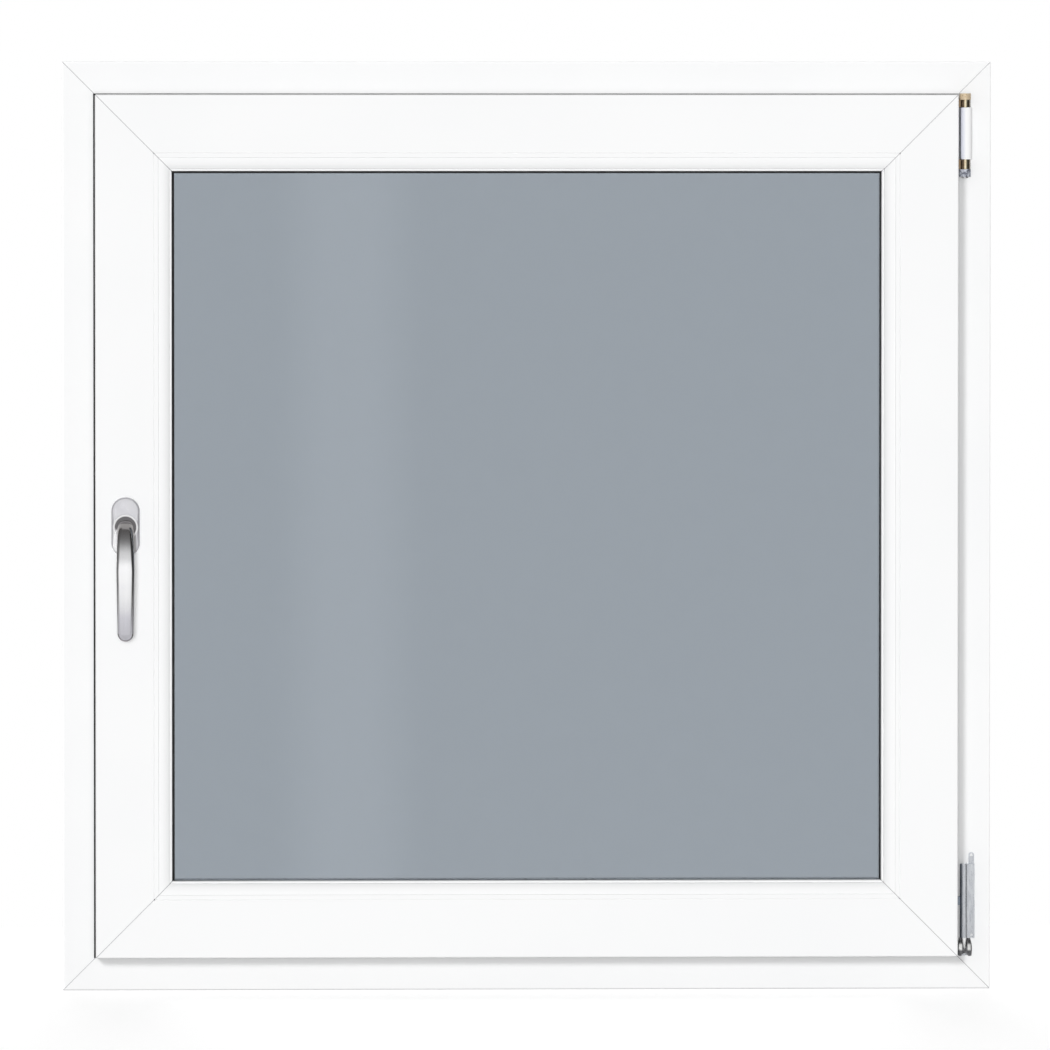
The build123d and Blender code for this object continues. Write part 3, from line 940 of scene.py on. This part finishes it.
@dataclass
class LeverHandle:
    """The oval rosette and the bent lever that turns in it, in millimetres from the axis."""

    rosette_half_width: float = 15.2
    rosette_half_straight: float = 16.8
    rosette_height: float = 10.5
    rosette_edge: float = 2.2
    boss_radius: float = 13.7
    boss_height: float = 3.0
    boss_rim: float = 2.4
    boss_recess: float = 1.2
    boss_edge: float = 0.6
    bore_radius: float = 7.56
    ring_points: int = 96
    edge_steps: int = 6
    journal_radius: float = 7.5
    journal_length: float = 8.0
    running_gap: float = 0.3
    neck_length: float = 3.0
    neck_size: Flat = (16.6, 15.0)
    neck_radius: float = 7.0
    grip_size: Flat = (19.4, 12.4)
    grip_radius: float = 3.0
    grip_end_size: Flat = (17.0, 10.6)
    grip_drop: float = 3.4
    grip_crown: float = 0.8
    bend_length: float = 46.0
    lever_length: float = 121.5
    projection: float = 54.0
    bend_steps: int = 28
    grip_steps: int = 18
    tip_steps: int = 12
    corner_steps: int = 8
    flat_steps: int = 6
    # Colour of the painted shade along the lever's edges.
    painted_edge_shade: Colour = (0.14, 0.12, 0.11)
    # Painted highlight along the rim of the rosette's boss.
    painted_rim_highlight: Colour = (0.9, 0.9, 0.91)
    # Painted shade in the recess inside the boss's rim.
    painted_recess_shade: Colour = (0.16, 0.155, 0.16)
    recess_soft: float = 0.2
    # Painted shadow of the lever on the rosette, right of the lever and below the boss.
    painted_lever_shadow: Stain = Stain(
        (0.2, 0.19, 0.18),
        (Bound(Measure.X, 6.0, 11.5, 1.5, HANDLE_X), Bound(Measure.Z, -28.0, -8.0, 3.0, HANDLE_Z)),
        0.7,
    )
    # Painted highlight on the rosette, left of the lever and below the boss.
    painted_rosette_highlight: Stain = Stain(
        (0.95, 0.95, 0.96),
        (Bound(Measure.X, -13.5, -8.0, 0.6, HANDLE_X), Bound(Measure.Z, -26.0, -3.0, 2.0, HANDLE_Z)),
    )
    # Painted reflection: the lever turns dark grey above the axis, in place of a dark reflection from
    # above.
    painted_dark_top_reflection: Stain = Stain((0.27, 0.255, 0.25), (Bound(Measure.Z, -12.0, FAR, 16.0, HANDLE_Z),), 0.95)
    # Painted reflection: a cool lavender tint on the lever's lower end.
    painted_end_reflection: Stain = Stain((0.8, 0.79, 0.86), (Bound(Measure.Z, -FAR, -90.0, 8.0, HANDLE_Z),), 0.8)
    # Painted shade: darker right and left sides and a darker rim round the tip, in place of dark
    # reflections at the lever's edges.
    painted_right_edge_shade: Stain = Stain(painted_edge_shade, (Bound(Measure.X, 7.3, FAR, 0.3, HANDLE_X),), 0.7)
    painted_left_edge_shade: Stain = Stain(painted_edge_shade, (Bound(Measure.X, -FAR, -7.7, 0.3, HANDLE_X),), 0.45)
    painted_tip_edge_shade: Stain = Stain(
        painted_edge_shade,
        (Bound(Measure.FROM_TIP, 7.0, FAR, 0.3), Bound(Measure.Z, -FAR, 0.0, zero=TIP_Z)),
        0.65,
    )

    def build(self) -> None:
        """Make the rosette and the lever and dress them."""
        inner = self.boss_radius - self.boss_rim
        on_rim = Bound(Measure.FROM_HANDLE, inner, self.boss_radius, self.recess_soft)
        in_recess = Bound(Measure.FROM_HANDLE, -FAR, inner, self.recess_soft)
        plate = SatinMetalFinish(
            name="rosette_metal",
            base=(0.65, 0.65, 0.68),
            blot=(0.7, 0.695, 0.725),
            roughness=0.2,
            metal=0.55,
            tone_and_light_patches=(
                Stain(self.painted_rim_highlight, (on_rim,)),
                Stain(self.painted_recess_shade, (in_recess,)),
                self.painted_lever_shadow,
                self.painted_rosette_highlight,
            ),
        )
        grip = SatinMetalFinish(
            name="lever_metal",
            base=(0.95, 0.95, 0.97),
            blot=(0.99, 0.99, 1.0),
            roughness=0.12,
            tone_and_light_patches=(self.painted_dark_top_reflection, self.painted_end_reflection, self.painted_right_edge_shade, self.painted_left_edge_shade, self.painted_tip_edge_shade),
        )
        rosette = self.rosette()
        rosette.data.materials.append(plate.make())
        settle(rosette, WINDOW_BODY, "rosette_metal", "handle_rosette")
        lever = self.lever()
        lever.data.materials.append(grip.make())
        settle(lever, HANDLE_BODY, "lever_metal", "handle_lever")

    def at(self, x: float, y: float, z: float) -> Vector:
        """A point from x to the right, y up and z towards the room, measured at the sash face."""
        return Vector((HANDLE_X + x * MM, SASH_FACE_Y - z * MM, HANDLE_Z + y * MM))

    def oval(self, inset: float, z: float) -> list[Vector]:
        """One loop of the rosette's outline.

        Args:
            inset: How far it lies inside the outline.
            z: Its height.

        Returns:
            The loop's points.
        """
        radius = self.rosette_half_width - inset
        half = self.ring_points // 2
        points = []
        for end in (1, -1):
            for i in range(half):
                angle = math.pi * i / (half - 1) + (0.0 if end > 0 else math.pi)
                y = radius * math.sin(angle) + end * self.rosette_half_straight
                points.append(self.at(radius * math.cos(angle), y, z))
        return points

    def circle(self, radius: float, z: float) -> list[Vector]:
        """One round loop on the axis with as many points as the oval."""
        angles = [math.tau * (i + 0.5) / self.ring_points for i in range(self.ring_points)]
        return [self.at(radius * math.cos(a), radius * math.sin(a), z) for a in angles]

    def rosette(self) -> bpy.types.Object:
        """The oval plate with a rounded edge, a rimmed boss and an open bore.

        Returns:
            The rosette.
        """
        top = self.rosette_height
        rim_top = top + self.boss_height
        floor = rim_top - self.boss_recess
        inner = self.boss_radius - self.boss_rim
        edge, lip = self.rosette_edge, self.boss_edge
        turns = [math.pi / 2 * i / self.edge_steps for i in range(self.edge_steps + 1)]
        arc = [(1.0 - math.cos(turn), 1.0 - math.sin(turn)) for turn in turns]
        loops = [self.oval(0.0, 0.0)]
        loops += [self.oval(edge * a, top - edge * b) for a, b in arc]
        loops.append(self.circle(self.boss_radius, top))
        loops += [self.circle(self.boss_radius - lip * a, rim_top - lip * b) for a, b in arc]
        loops += [self.circle(inner + lip * b, rim_top - lip * a) for a, b in arc]
        loops.append(self.circle(inner, floor))
        loops.append(self.circle(self.bore_radius, floor))
        loops.append(self.circle(self.bore_radius, 0.0))
        return loft("handle_rosette_plate", loops, (False, False), closed=True)

    def section(self, size: Flat, radius: float, crown: float) -> list[Flat]:
        """A rounded outline, flat-sided or slightly crowned.

        Args:
            size: Its width and thickness.
            radius: Its corners' radius.
            crown: How far its faces fall from their middle to their sides.

        Returns:
            Points anticlockwise from the right.
        """
        half_width, half_thickness = size[0] / 2, size[1] / 2
        points = []
        for quarter in range(4):
            sign_x = 1 if quarter in (0, 3) else -1
            sign_y = 1 if quarter in (0, 1) else -1
            for i in range(self.corner_steps + 1):
                angle = math.pi / 2 * (quarter + i / self.corner_steps)
                x = sign_x * (half_width - radius) + radius * math.cos(angle)
                y = sign_y * (half_thickness - radius) + radius * math.sin(angle)
                points.append((x, y))
            if quarter in (0, 2):
                run = half_width - radius
                for i in range(1, self.flat_steps):
                    x = sign_x * run * (1.0 - 2.0 * i / self.flat_steps)
                    points.append((x, sign_y * half_thickness))
        fall = [crown * (x / half_width) ** 2 for x, _ in points]
        return [
            (x, y - math.copysign(drop * min(1.0, abs(y) / half_thickness), y))
            for (x, y), drop in zip(points, fall)
        ]

    def lay(self, outline: Sequence[Flat], centre: Flat, along: Flat, sweep: float = 0.0) -> list[Vector]:
        """Stand an outline across the lever's line.

        Args:
            outline: The outline's points.
            centre: Its middle as y and z.
            along: The line's direction there as y and z.
            sweep: How far both halves are folded forwards, as an angle.

        Returns:
            The loop's points.
        """
        length = math.hypot(*along)
        run_y, run_z = along[0] / length, along[1] / length
        points = []
        for x, thick in outline:
            ahead = abs(x) * math.sin(sweep)
            y = centre[0] + run_z * thick + run_y * ahead
            z = centre[1] - run_y * thick + run_z * ahead
            points.append(self.at(x * math.cos(sweep), y, z))
        return points

    def lever(self) -> bpy.types.Object:
        """Journal, neck, long bend, drooping grip and half-round tip in one skin.

        Returns:
            The lever.
        """
        seat = self.rosette_height + self.boss_height - self.boss_recess + self.running_gap
        bend_z = seat + self.neck_length
        grip_z = self.projection - self.grip_size[1] / 2
        rise = grip_z - bend_z
        grip_length = self.lever_length - self.grip_end_size[0] / 2 - self.bend_length
        neck = self.section(self.neck_size, self.neck_radius, 0.0)
        journal = [
            (self.journal_radius * x / math.hypot(x, y), self.journal_radius * y / math.hypot(x, y))
            for x, y in neck
        ]
        up = (0.0, 1.0)
        loops = [
            self.lay(journal, (0.0, seat - self.journal_length), up),
            self.lay(journal, (0.0, seat), up),
            self.lay(neck, (0.0, seat), up),
        ]
        for i in range(self.bend_steps + 1):
            share = i / self.bend_steps
            cos, sin = math.cos(math.pi / 2 * share), math.sin(math.pi / 2 * share)
            size = tuple(a + (b - a) * share for a, b in zip(self.neck_size, self.grip_size))
            radius = self.neck_radius + (self.grip_radius - self.neck_radius) * share
            outline = self.section(size, radius, self.grip_crown * share)
            centre = (-self.bend_length * (1.0 - cos), bend_z + rise * sin)
            loops.append(self.lay(outline, centre, (-self.bend_length * sin, rise * cos)))
        for i in range(1, self.grip_steps + 1):
            share = i / self.grip_steps
            size = tuple(a + (b - a) * share for a, b in zip(self.grip_size, self.grip_end_size))
            outline = self.section(size, self.grip_radius, self.grip_crown)
            centre = (-self.bend_length - grip_length * share, grip_z - self.grip_drop * share**2)
            along = (-grip_length, -2.0 * self.grip_drop * share)
            loops.append(self.lay(outline, centre, along))
        for i in range(1, self.tip_steps + 1):
            loops.append(self.lay(outline, centre, along, math.pi / 2 * i / self.tip_steps))
        return loft("handle_lever_grip", loops, (True, False))


@dataclass
class HingePair:
    """The upper and the lower hinge, in millimetres, and the drain covers outside."""

    cup_bottom: float = 36.0
    cup_top: float = 55.5
    cup_waist: float = 4.4
    cup_bulge: float = 2.7
    bulge_start: float = 0.1
    bulge_span: float = 0.62
    cup_wall: float = 1.8
    cup_edge: float = 0.4
    edge_share: float = 0.03
    cup_floor: float = 43.0
    floor_radius: float = 3.6
    cup_back_y: float = -39.1
    right_reach: float = 1.2
    notch_reach: float = 46.0
    notch_low: float = 43.6
    arch_reach: float = 46.0
    arch_rise: float = 3.2
    cup_points: int = 96
    cup_rings: int = 14
    ball_radius: float = 1.8
    ball_share: float = 0.82
    ball_rings: int = 10
    pivot_neck: float = 1.2
    pivot_top: float = 2.4
    pivot_collar: float = 1.0
    cream_knuckle: Stain = Stain((0.78, 0.6, 0.36), (Bound(Measure.Z, 958.5, FAR),), 0.8)
    # Painted shade: near-black on the bracket's deep parts, in the gap between the sash and the sleeve.
    painted_deep_shade: Stain = Stain((0.03, 0.035, 0.05), (Bound(Measure.Y, -40.0, FAR, 2.0),))
    # Painted shade on the stay barrel: brown-dark on its left, darker on its right, leaving a bright
    # middle.
    painted_barrel_shade: Stain = Stain((0.15, 0.085, 0.045), (Bound(Measure.X, -FAR, -1.2, 0.8, HINGE_X),), 0.85)
    painted_barrel_edge_shade: Stain = Stain((0.34, 0.28, 0.22), (Bound(Measure.X, 2.6, FAR, 0.8, HINGE_X),), 0.8)
    # Painted shade: a lavender-grey on the left of the white sleeve.
    painted_sleeve_shade: Stain = Stain((0.74, 0.76, 0.86), (Bound(Measure.X, -FAR, -1.0, 2.0, HINGE_X),), 0.8)
    # Painted shade: a dark blue-grey on the left flank of the lower barrel, in place of a dark reflection.
    painted_zinc_flank_shade: Stain = Stain((0.2, 0.24, 0.3), (Bound(Measure.X, -FAR, -2.6, 1.2, HINGE_X),), 0.85)
    # Painted highlights: near-white patches on the cup's two lobes.
    painted_lobe_highlight: Colour = (0.97, 0.97, 0.96)
    lobe_height: Bound = Bound(Measure.Z, 42.5, 49.0, 1.4)
    painted_left_lobe_highlight: Stain = Stain(painted_lobe_highlight, (Bound(Measure.X, -6.1, -2.9, 0.6, HINGE_X), lobe_height))
    painted_right_lobe_highlight: Stain = Stain(painted_lobe_highlight, (Bound(Measure.X, 3.2, 6.7, 0.6, HINGE_X), lobe_height))
    # Painted shade: near-black inside the cup's V above its floor.
    painted_hollow_shade: Stain = Stain(
        (0.015, 0.015, 0.017),
        (Bound(Measure.FROM_HINGE, -FAR, 4.7, 0.3), Bound(Measure.Z, 42.4, FAR, 0.2)),
    )
    bracket: Finish = PlatedFinish(
        name="zinc_bracket",
        base=(0.14, 0.15, 0.19),
        blot=(0.66, 0.69, 0.76),
        roughness=0.2,
        blot_scale=420.0,
        metal=0.25,
        tone_and_light_patches=(cream_knuckle, painted_deep_shade),
    )
    chromate: Finish = PlatedFinish(
        name="chromate_metal",
        base=(0.8, 0.64, 0.4),
        blot=(0.97, 0.88, 0.66),
        roughness=0.12,
        blot_scale=420.0,
        tone_and_light_patches=(painted_barrel_shade, painted_barrel_edge_shade),
    )
    sleeve: Finish = MouldedFinish(
        name="sleeve_plastic",
        base=(0.93, 0.93, 0.93),
        blot=(0.91, 0.91, 0.92),
        tone_and_light_patches=(painted_sleeve_shade,),
    )
    pin: Finish = PlatedFinish(
        name="pin_metal", base=(0.6, 0.6, 0.63), blot=(0.8, 0.8, 0.82), roughness=0.1
    )
    zinc: Finish = PlatedFinish(
        name="zinc_metal",
        base=(0.66, 0.685, 0.73),
        blot=(0.84, 0.865, 0.9),
        roughness=0.2,
        blot_scale=650.0,
        blot_stretch=(1.0, 1.0, 0.14),
        tone_and_light_patches=(painted_zinc_flank_shade,),
    )
    # The cup's chrome is painted: a near-black, mostly matt base in place of dark reflections, under the
    # painted highlights and shade.
    painted_chrome: Finish = PlatedFinish(
        name="cup_metal",
        base=(0.06, 0.06, 0.065),
        blot=(0.2, 0.2, 0.205),
        roughness=0.08,
        blot_scale=300.0,
        metal=0.3,
        tone_and_light_patches=(painted_left_lobe_highlight, painted_right_lobe_highlight, painted_hollow_shade),
    )
    # Painted highlight: a near-white, mostly matt pivot in place of the bright reflections of its plated
    # metal.
    polished: Finish = PlatedFinish(
        name="pivot_metal",
        base=(0.93, 0.93, 0.94),
        blot=(0.97, 0.97, 0.97),
        roughness=0.08,
        blot_scale=300.0,
        metal=0.15,
    )

    def build(self) -> None:
        """Dress both hinges and the drain covers, and make the cup and its pivot."""
        dress(("upper_hinge_bracket",), self.bracket.make())
        dress(("upper_hinge_stay_barrel",), self.chromate.make())
        dress(("upper_hinge_sleeve",), self.sleeve.make())
        dress(("upper_hinge_pin",), self.pin.make())
        dress(("lower_hinge_bearing", "lower_hinge_barrel"), self.zinc.make())
        cup = self.cup()
        cup.data.materials.append(self.painted_chrome.make())
        settle(cup, WINDOW_BODY, "pivot_metal", "lower_hinge_cup")
        pivot = self.pivot()
        pivot.data.materials.append(self.polished.make())
        settle(pivot, WINDOW_BODY, "pivot_metal", "lower_hinge_pivot")
        dress(("drain_covers",), MouldedFinish(name="drain_plastic").make())
        LOG.info("hinges and drain covers")

    def angles(self) -> list[float]:
        """Even angles round the hinge line, from the front."""
        return [math.tau * i / self.cup_points for i in range(self.cup_points)]

    def radius_at(self, z: float) -> float:
        """The cup's outer radius.

        Args:
            z: The height.

        Returns:
            The radius there.
        """
        fall = (self.cup_top - z) / (self.cup_top - self.cup_bottom)
        turn = math.pi * (self.bulge_start + self.bulge_span * fall)
        return self.cup_waist + self.cup_bulge * math.sin(turn)

    def around(self, angle: float, radius: float, z: float) -> Vector:
        """A point round the hinge line, wider on the right and kept clear of the plate behind.

        Args:
            angle: Its angle from the front.
            radius: Its distance from the line, before that.
            z: Its height.

        Returns:
            The point.
        """
        across = radius * math.sin(angle)
        if across > 0.0 and radius > self.cup_waist:
            across *= self.right_reach
        y = min(HINGE_Y - radius * math.cos(angle) * MM, self.cup_back_y * MM)
        return Vector((HINGE_X + across * MM, y, z * MM))

    def round_loop(self, radius: float, z: float) -> list[Vector]:
        """One round loop on the hinge line."""
        return [self.around(angle, radius, z) for angle in self.angles()]

    def edges(self, angle: float) -> Flat:
        """The cup's edges at an angle: an arch right through below, and a V-notch in front above.

        Args:
            angle: The angle from the front.

        Returns:
            The heights of the lower and the upper edge.
        """
        off = abs(math.degrees(math.remainder(angle, math.tau)))
        low, high = self.cup_bottom, self.cup_top
        nearest = min(off, 180.0 - off)
        if nearest < self.arch_reach:
            low += self.arch_rise * math.cos(math.pi / 2 * nearest / self.arch_reach)
        if off < self.notch_reach:
            high = self.notch_low + (high - self.notch_low) * off / self.notch_reach
        return low, high

    def wall(self, share: float, inset: float) -> list[Vector]:
        """One loop of the cup's wall.

        Args:
            share: Where it lies from the lower edge, 0, to the upper edge, 1.
            inset: How far it lies inside the outer face.

        Returns:
            The loop's points.
        """
        points = []
        for angle in self.angles():
            low, high = self.edges(angle)
            z = low + (high - low) * share
            points.append(self.around(angle, self.radius_at(z) - inset, z))
        return points

    def cup(self) -> bpy.types.Object:
        """The mirror-finished open cup: two bulging lobes with a notch and an arch between them.

        Returns:
            The cup.
        """
        under = self.cup_bottom + self.arch_rise
        step = (1.0 - 2.0 * self.edge_share) / self.cup_rings
        loops = [self.round_loop(0.0, under), self.round_loop(self.cup_waist / 2, under)]
        loops += [self.wall(0.0, self.cup_wall), self.wall(0.0, self.cup_edge)]
        loops += [self.wall(self.edge_share + step * i, 0.0) for i in range(self.cup_rings + 1)]
        loops += [self.wall(1.0, self.cup_edge), self.wall(1.0, self.cup_wall)]
        loops += [self.round_loop(self.floor_radius, self.cup_floor), self.round_loop(0.0, self.cup_floor)]
        return loft("hinge_cup_shell", loops, (False, False))

    def pivot(self) -> bpy.types.Object:
        """The pivot: a ball in the cup under a cone that widens up to the barrel.

        Returns:
            The pivot.
        """
        middle = self.cup_floor + self.ball_radius
        loops = []
        for i in range(self.ball_rings + 1):
            angle = math.pi * self.ball_share * i / self.ball_rings
            z = middle - self.ball_radius * math.cos(angle)
            loops.append(self.round_loop(self.ball_radius * math.sin(angle), z))
        loops += [
            self.round_loop(self.pivot_neck, middle + self.ball_radius),
            self.round_loop(self.pivot_top, self.cup_top - self.pivot_collar),
            self.round_loop(self.pivot_top, self.cup_top),
            self.round_loop(0.0, self.cup_top),
        ]
        return loft("hinge_pivot_cone", loops, (False, False))


class Reach(Enum):
    """Whether a light takes in only the named objects, or all but them."""

    ONLY = "INCLUDE"
    ALL_BUT = "EXCLUDE"


@dataclass(frozen=True)
class Lamp:
    """A far soft light that no mirror or glass shows, and what it reaches."""

    name: str
    strength: float
    angle: float
    reach: Reach
    objects: tuple[str, ...]
    way: Point | None = None
    blockers: tuple[str, ...] = ()

    def build(self, view: Vector) -> None:
        """Set the light up.

        Args:
            view: The way that the camera looks, which the light takes if it has none of its own.
        """
        data = bpy.data.lights.new(self.name, "SUN")
        data.energy = self.strength
        data.angle = math.radians(self.angle)
        light = bpy.data.objects.new(self.name, data)
        light.rotation_mode = "QUATERNION"
        light.rotation_quaternion = (Vector(self.way) if self.way else view).to_track_quat("-Z", "Y")
        light.visible_camera = False
        light.visible_glossy = False
        light.visible_transmission = False
        bpy.context.scene.collection.objects.link(light)
        linking = light.light_linking
        linking.receiver_collection = self.group("receivers", self.reach, self.objects)
        if self.blockers:
            linking.blocker_collection = self.group("blockers", Reach.ONLY, self.blockers)

    def group(self, role: str, reach: Reach, names: Iterable[str]) -> bpy.types.Collection:
        """A set of objects that the light takes in or leaves out.

        Args:
            role: What they are to the light.
            reach: Whether it takes in only them, or all but them.
            names: The objects' names.

        Returns:
            The set.
        """
        members = bpy.data.collections.new(f"{self.name}_{role}")
        for name in names:
            members.objects.link(bpy.data.objects[name])
        for entry in members.collection_objects:
            entry.light_linking.link_state = reach.value
        return members


@dataclass(frozen=True)
class Fade:
    """A soft loss of light along a direction, from where it starts to where it is whole."""

    loss: float
    start: float
    end: float

    def lost(self, way: Wire) -> Wire:
        """The light that is lost at a place along the direction."""
        return self.loss * way.smooth(self.start, self.end)

    def left(self, way: Wire) -> Wire:
        """The share of light that is left at a place along the direction."""
        return 1.0 - self.lost(way)


@dataclass
class Studio:
    """Pale floor, white surround, soft lights and the camera."""

    aim: Point = (-0.002, -0.035, 0.5011)
    view_width: float = 1.131
    lens: float = 400.0
    sensor: float = 36.0
    azimuth: float = -1.8
    elevation: float = 1.8
    surround: float = 0.8
    ambient: float = 0.4
    tent_level: float = 1.2
    tent_high: Fade = Fade(0.42, 0.03, 0.4)
    tent_top: Fade = Fade(0.5, 0.4, 0.9)
    tent_low: Fade = Fade(0.45, 0.06, 0.3)
    tent_right: Fade = Fade(0.93, 0.18, 0.6)
    tent_left: Fade = Fade(0.7, 0.35, 0.85)
    tent_outside: Fade = Fade(0.45, 0.0, 0.6)
    strip_level: float = 0.45
    strip_x: Flat = (0.012, 0.0205)
    strip_soft: float = 0.003
    strip_outside: Fade = Fade(1.0, -0.9, 0.0)
    floor_x: Flat = (-4.0, 4.0)
    floor_y: Flat = (-1.5, 1.0)
    floor_white: Colour = (0.5, 0.5, 0.5)
    floor_lift: float = 0.77
    floor_through: float = 0.54
    floor_mirrored: float = 0.3
    lamps: tuple[Lamp, ...] = (
        Lamp("key_light", 2.33, 10.0, Reach.ALL_BUT, FRAME_NODES),
        Lamp("frame_light", 1.12, 10.0, Reach.ONLY, FRAME_NODES),
        Lamp("slant_light", 1.5, 17.0, Reach.ONLY, FRAME_NODES, (0.58, 1.0, -0.58), SASH_NODES),
        Lamp("left_fill", 1.3, 10.0, Reach.ONLY, FRAME_NODES, (1.0, 0.0, -0.2)),
        Lamp("right_fill", 1.3, 10.0, Reach.ONLY, FRAME_NODES, (-1.0, 0.0, -0.2)),
        Lamp("back_light", 1.4, 20.0, Reach.ALL_BUT, (FLOOR,), (0.25, -1.0, -0.5)),
        Lamp("floor_light", 0.8, 14.0, Reach.ONLY, (FLOOR,), (0.0, -1.0, -0.8)),
    )

    def build(self) -> None:
        """Set up everything that isn't part of the window."""
        back = self.camera()
        self.world()
        self.floor()
        for lamp in self.lamps:
            lamp.build(-back)
        bpy.context.scene.view_settings.view_transform = "Standard"
        LOG.info("studio with %d lights", len(self.lamps))

    def camera(self) -> Vector:
        """Place a long lens almost square to the window, a little from the upper left.

        Returns:
            The direction from the window to the camera.
        """
        data = bpy.data.cameras.new("camera")
        data.lens = self.lens
        data.sensor_width = self.sensor
        distance = self.lens * self.view_width / self.sensor
        turn = math.radians(self.azimuth)
        rise = math.radians(self.elevation)
        back = Vector(
            (math.sin(turn) * math.cos(rise), -math.cos(turn) * math.cos(rise), math.sin(rise))
        )
        data.clip_end = 4 * distance
        camera = bpy.data.objects.new("camera", data)
        camera.location = Vector(self.aim) + back * distance
        camera.rotation_mode = "QUATERNION"
        camera.rotation_quaternion = (-back).to_track_quat("-Z", "Y")
        bpy.context.scene.collection.objects.link(camera)
        bpy.context.scene.camera = camera
        return back

    def world(self) -> None:
        """White where it is seen or looked through to, an even light, and a light tent in metal."""
        world = bpy.data.worlds.new("surround")
        world.use_nodes = True
        board = Board(world.node_tree)
        seen = board.node("ShaderNodeLightPath", output="Is Camera Ray")
        through = seen.also("Is Transmission Ray")
        glossy = seen.also("Is Glossy Ray")
        direction = board.node("ShaderNodeTexCoord", output="Generated")
        x = board.node("ShaderNodeSeparateXYZ", None, {0: direction}, "X")
        y, z = x.also("Y"), x.also("Z")
        tent = self.tent_level - self.tent_high.lost(z) - self.tent_top.lost(z)
        tent = tent - self.tent_low.lost(0.0 - z)
        tent = tent * self.tent_right.left(x) * self.tent_left.left(0.0 - x) * self.tent_outside.left(y)
        strip = self.strip_level * x.hump(*self.strip_x, self.strip_soft) * self.strip_outside.left(y)
        hidden = glossy * (tent + strip) + (1.0 - glossy) * self.ambient
        unseen = self.surround * (through * (1.0 + strip) + (1.0 - through) * hidden)
        strength = seen + (1.0 - seen) * unseen
        white = (1.0, 1.0, 1.0, 1.0)
        light = board.node("ShaderNodeBackground", None, {"Color": white, "Strength": strength})
        board.close("ShaderNodeOutputWorld", light)
        bpy.context.scene.world = world

    def floor(self) -> None:
        """A white floor that keeps the window's shadow and is clear from below."""
        recipe = Recipe("floor_white")
        seen = recipe.node("ShaderNodeLightPath", output="Is Camera Ray")
        through = seen.also("Is Transmission Ray")
        unseen = through * self.floor_through + (1.0 - through) * self.floor_mirrored
        lift = seen * self.floor_lift + (1.0 - seen) * unseen
        matt = recipe.node("ShaderNodeBsdfDiffuse", None, {"Color": (*self.floor_white, 1.0)})
        glow = recipe.node("ShaderNodeEmission", None, {"Strength": lift})
        top = recipe.node("ShaderNodeAddShader", None, {0: matt, 1: glow})
        clear = recipe.node("ShaderNodeBsdfTransparent")
        below = recipe.node("ShaderNodeNewGeometry", output="Backfacing")
        mixed = recipe.node("ShaderNodeMixShader", None, {0: below, 1: top, 2: clear})
        (x0, x1), (y0, y1) = self.floor_x, self.floor_y
        mesh = bpy.data.meshes.new(FLOOR)
        mesh.from_pydata([(x0, y0, 0.0), (x1, y0, 0.0), (x1, y1, 0.0), (x0, y1, 0.0)], [], [(0, 1, 2, 3)])
        mesh.materials.append(recipe.output(mixed))
        sheet = bpy.data.objects.new(FLOOR, mesh)
        bpy.context.scene.collection.objects.link(sheet)
        sheet.visible_diffuse = False
        sheet.visible_shadow = False


def main() -> None:
    """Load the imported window, dress it piece by piece and set up the studio."""
    logging.basicConfig(level=logging.INFO, format="%(name)s: %(message)s")
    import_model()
    for assembly in (ProfileFrame(), GlazedUnit(), SealSet(), LeverHandle(), HingePair()):
        assembly.build()
    Studio().build()


if __name__ == "__main__":
    main()
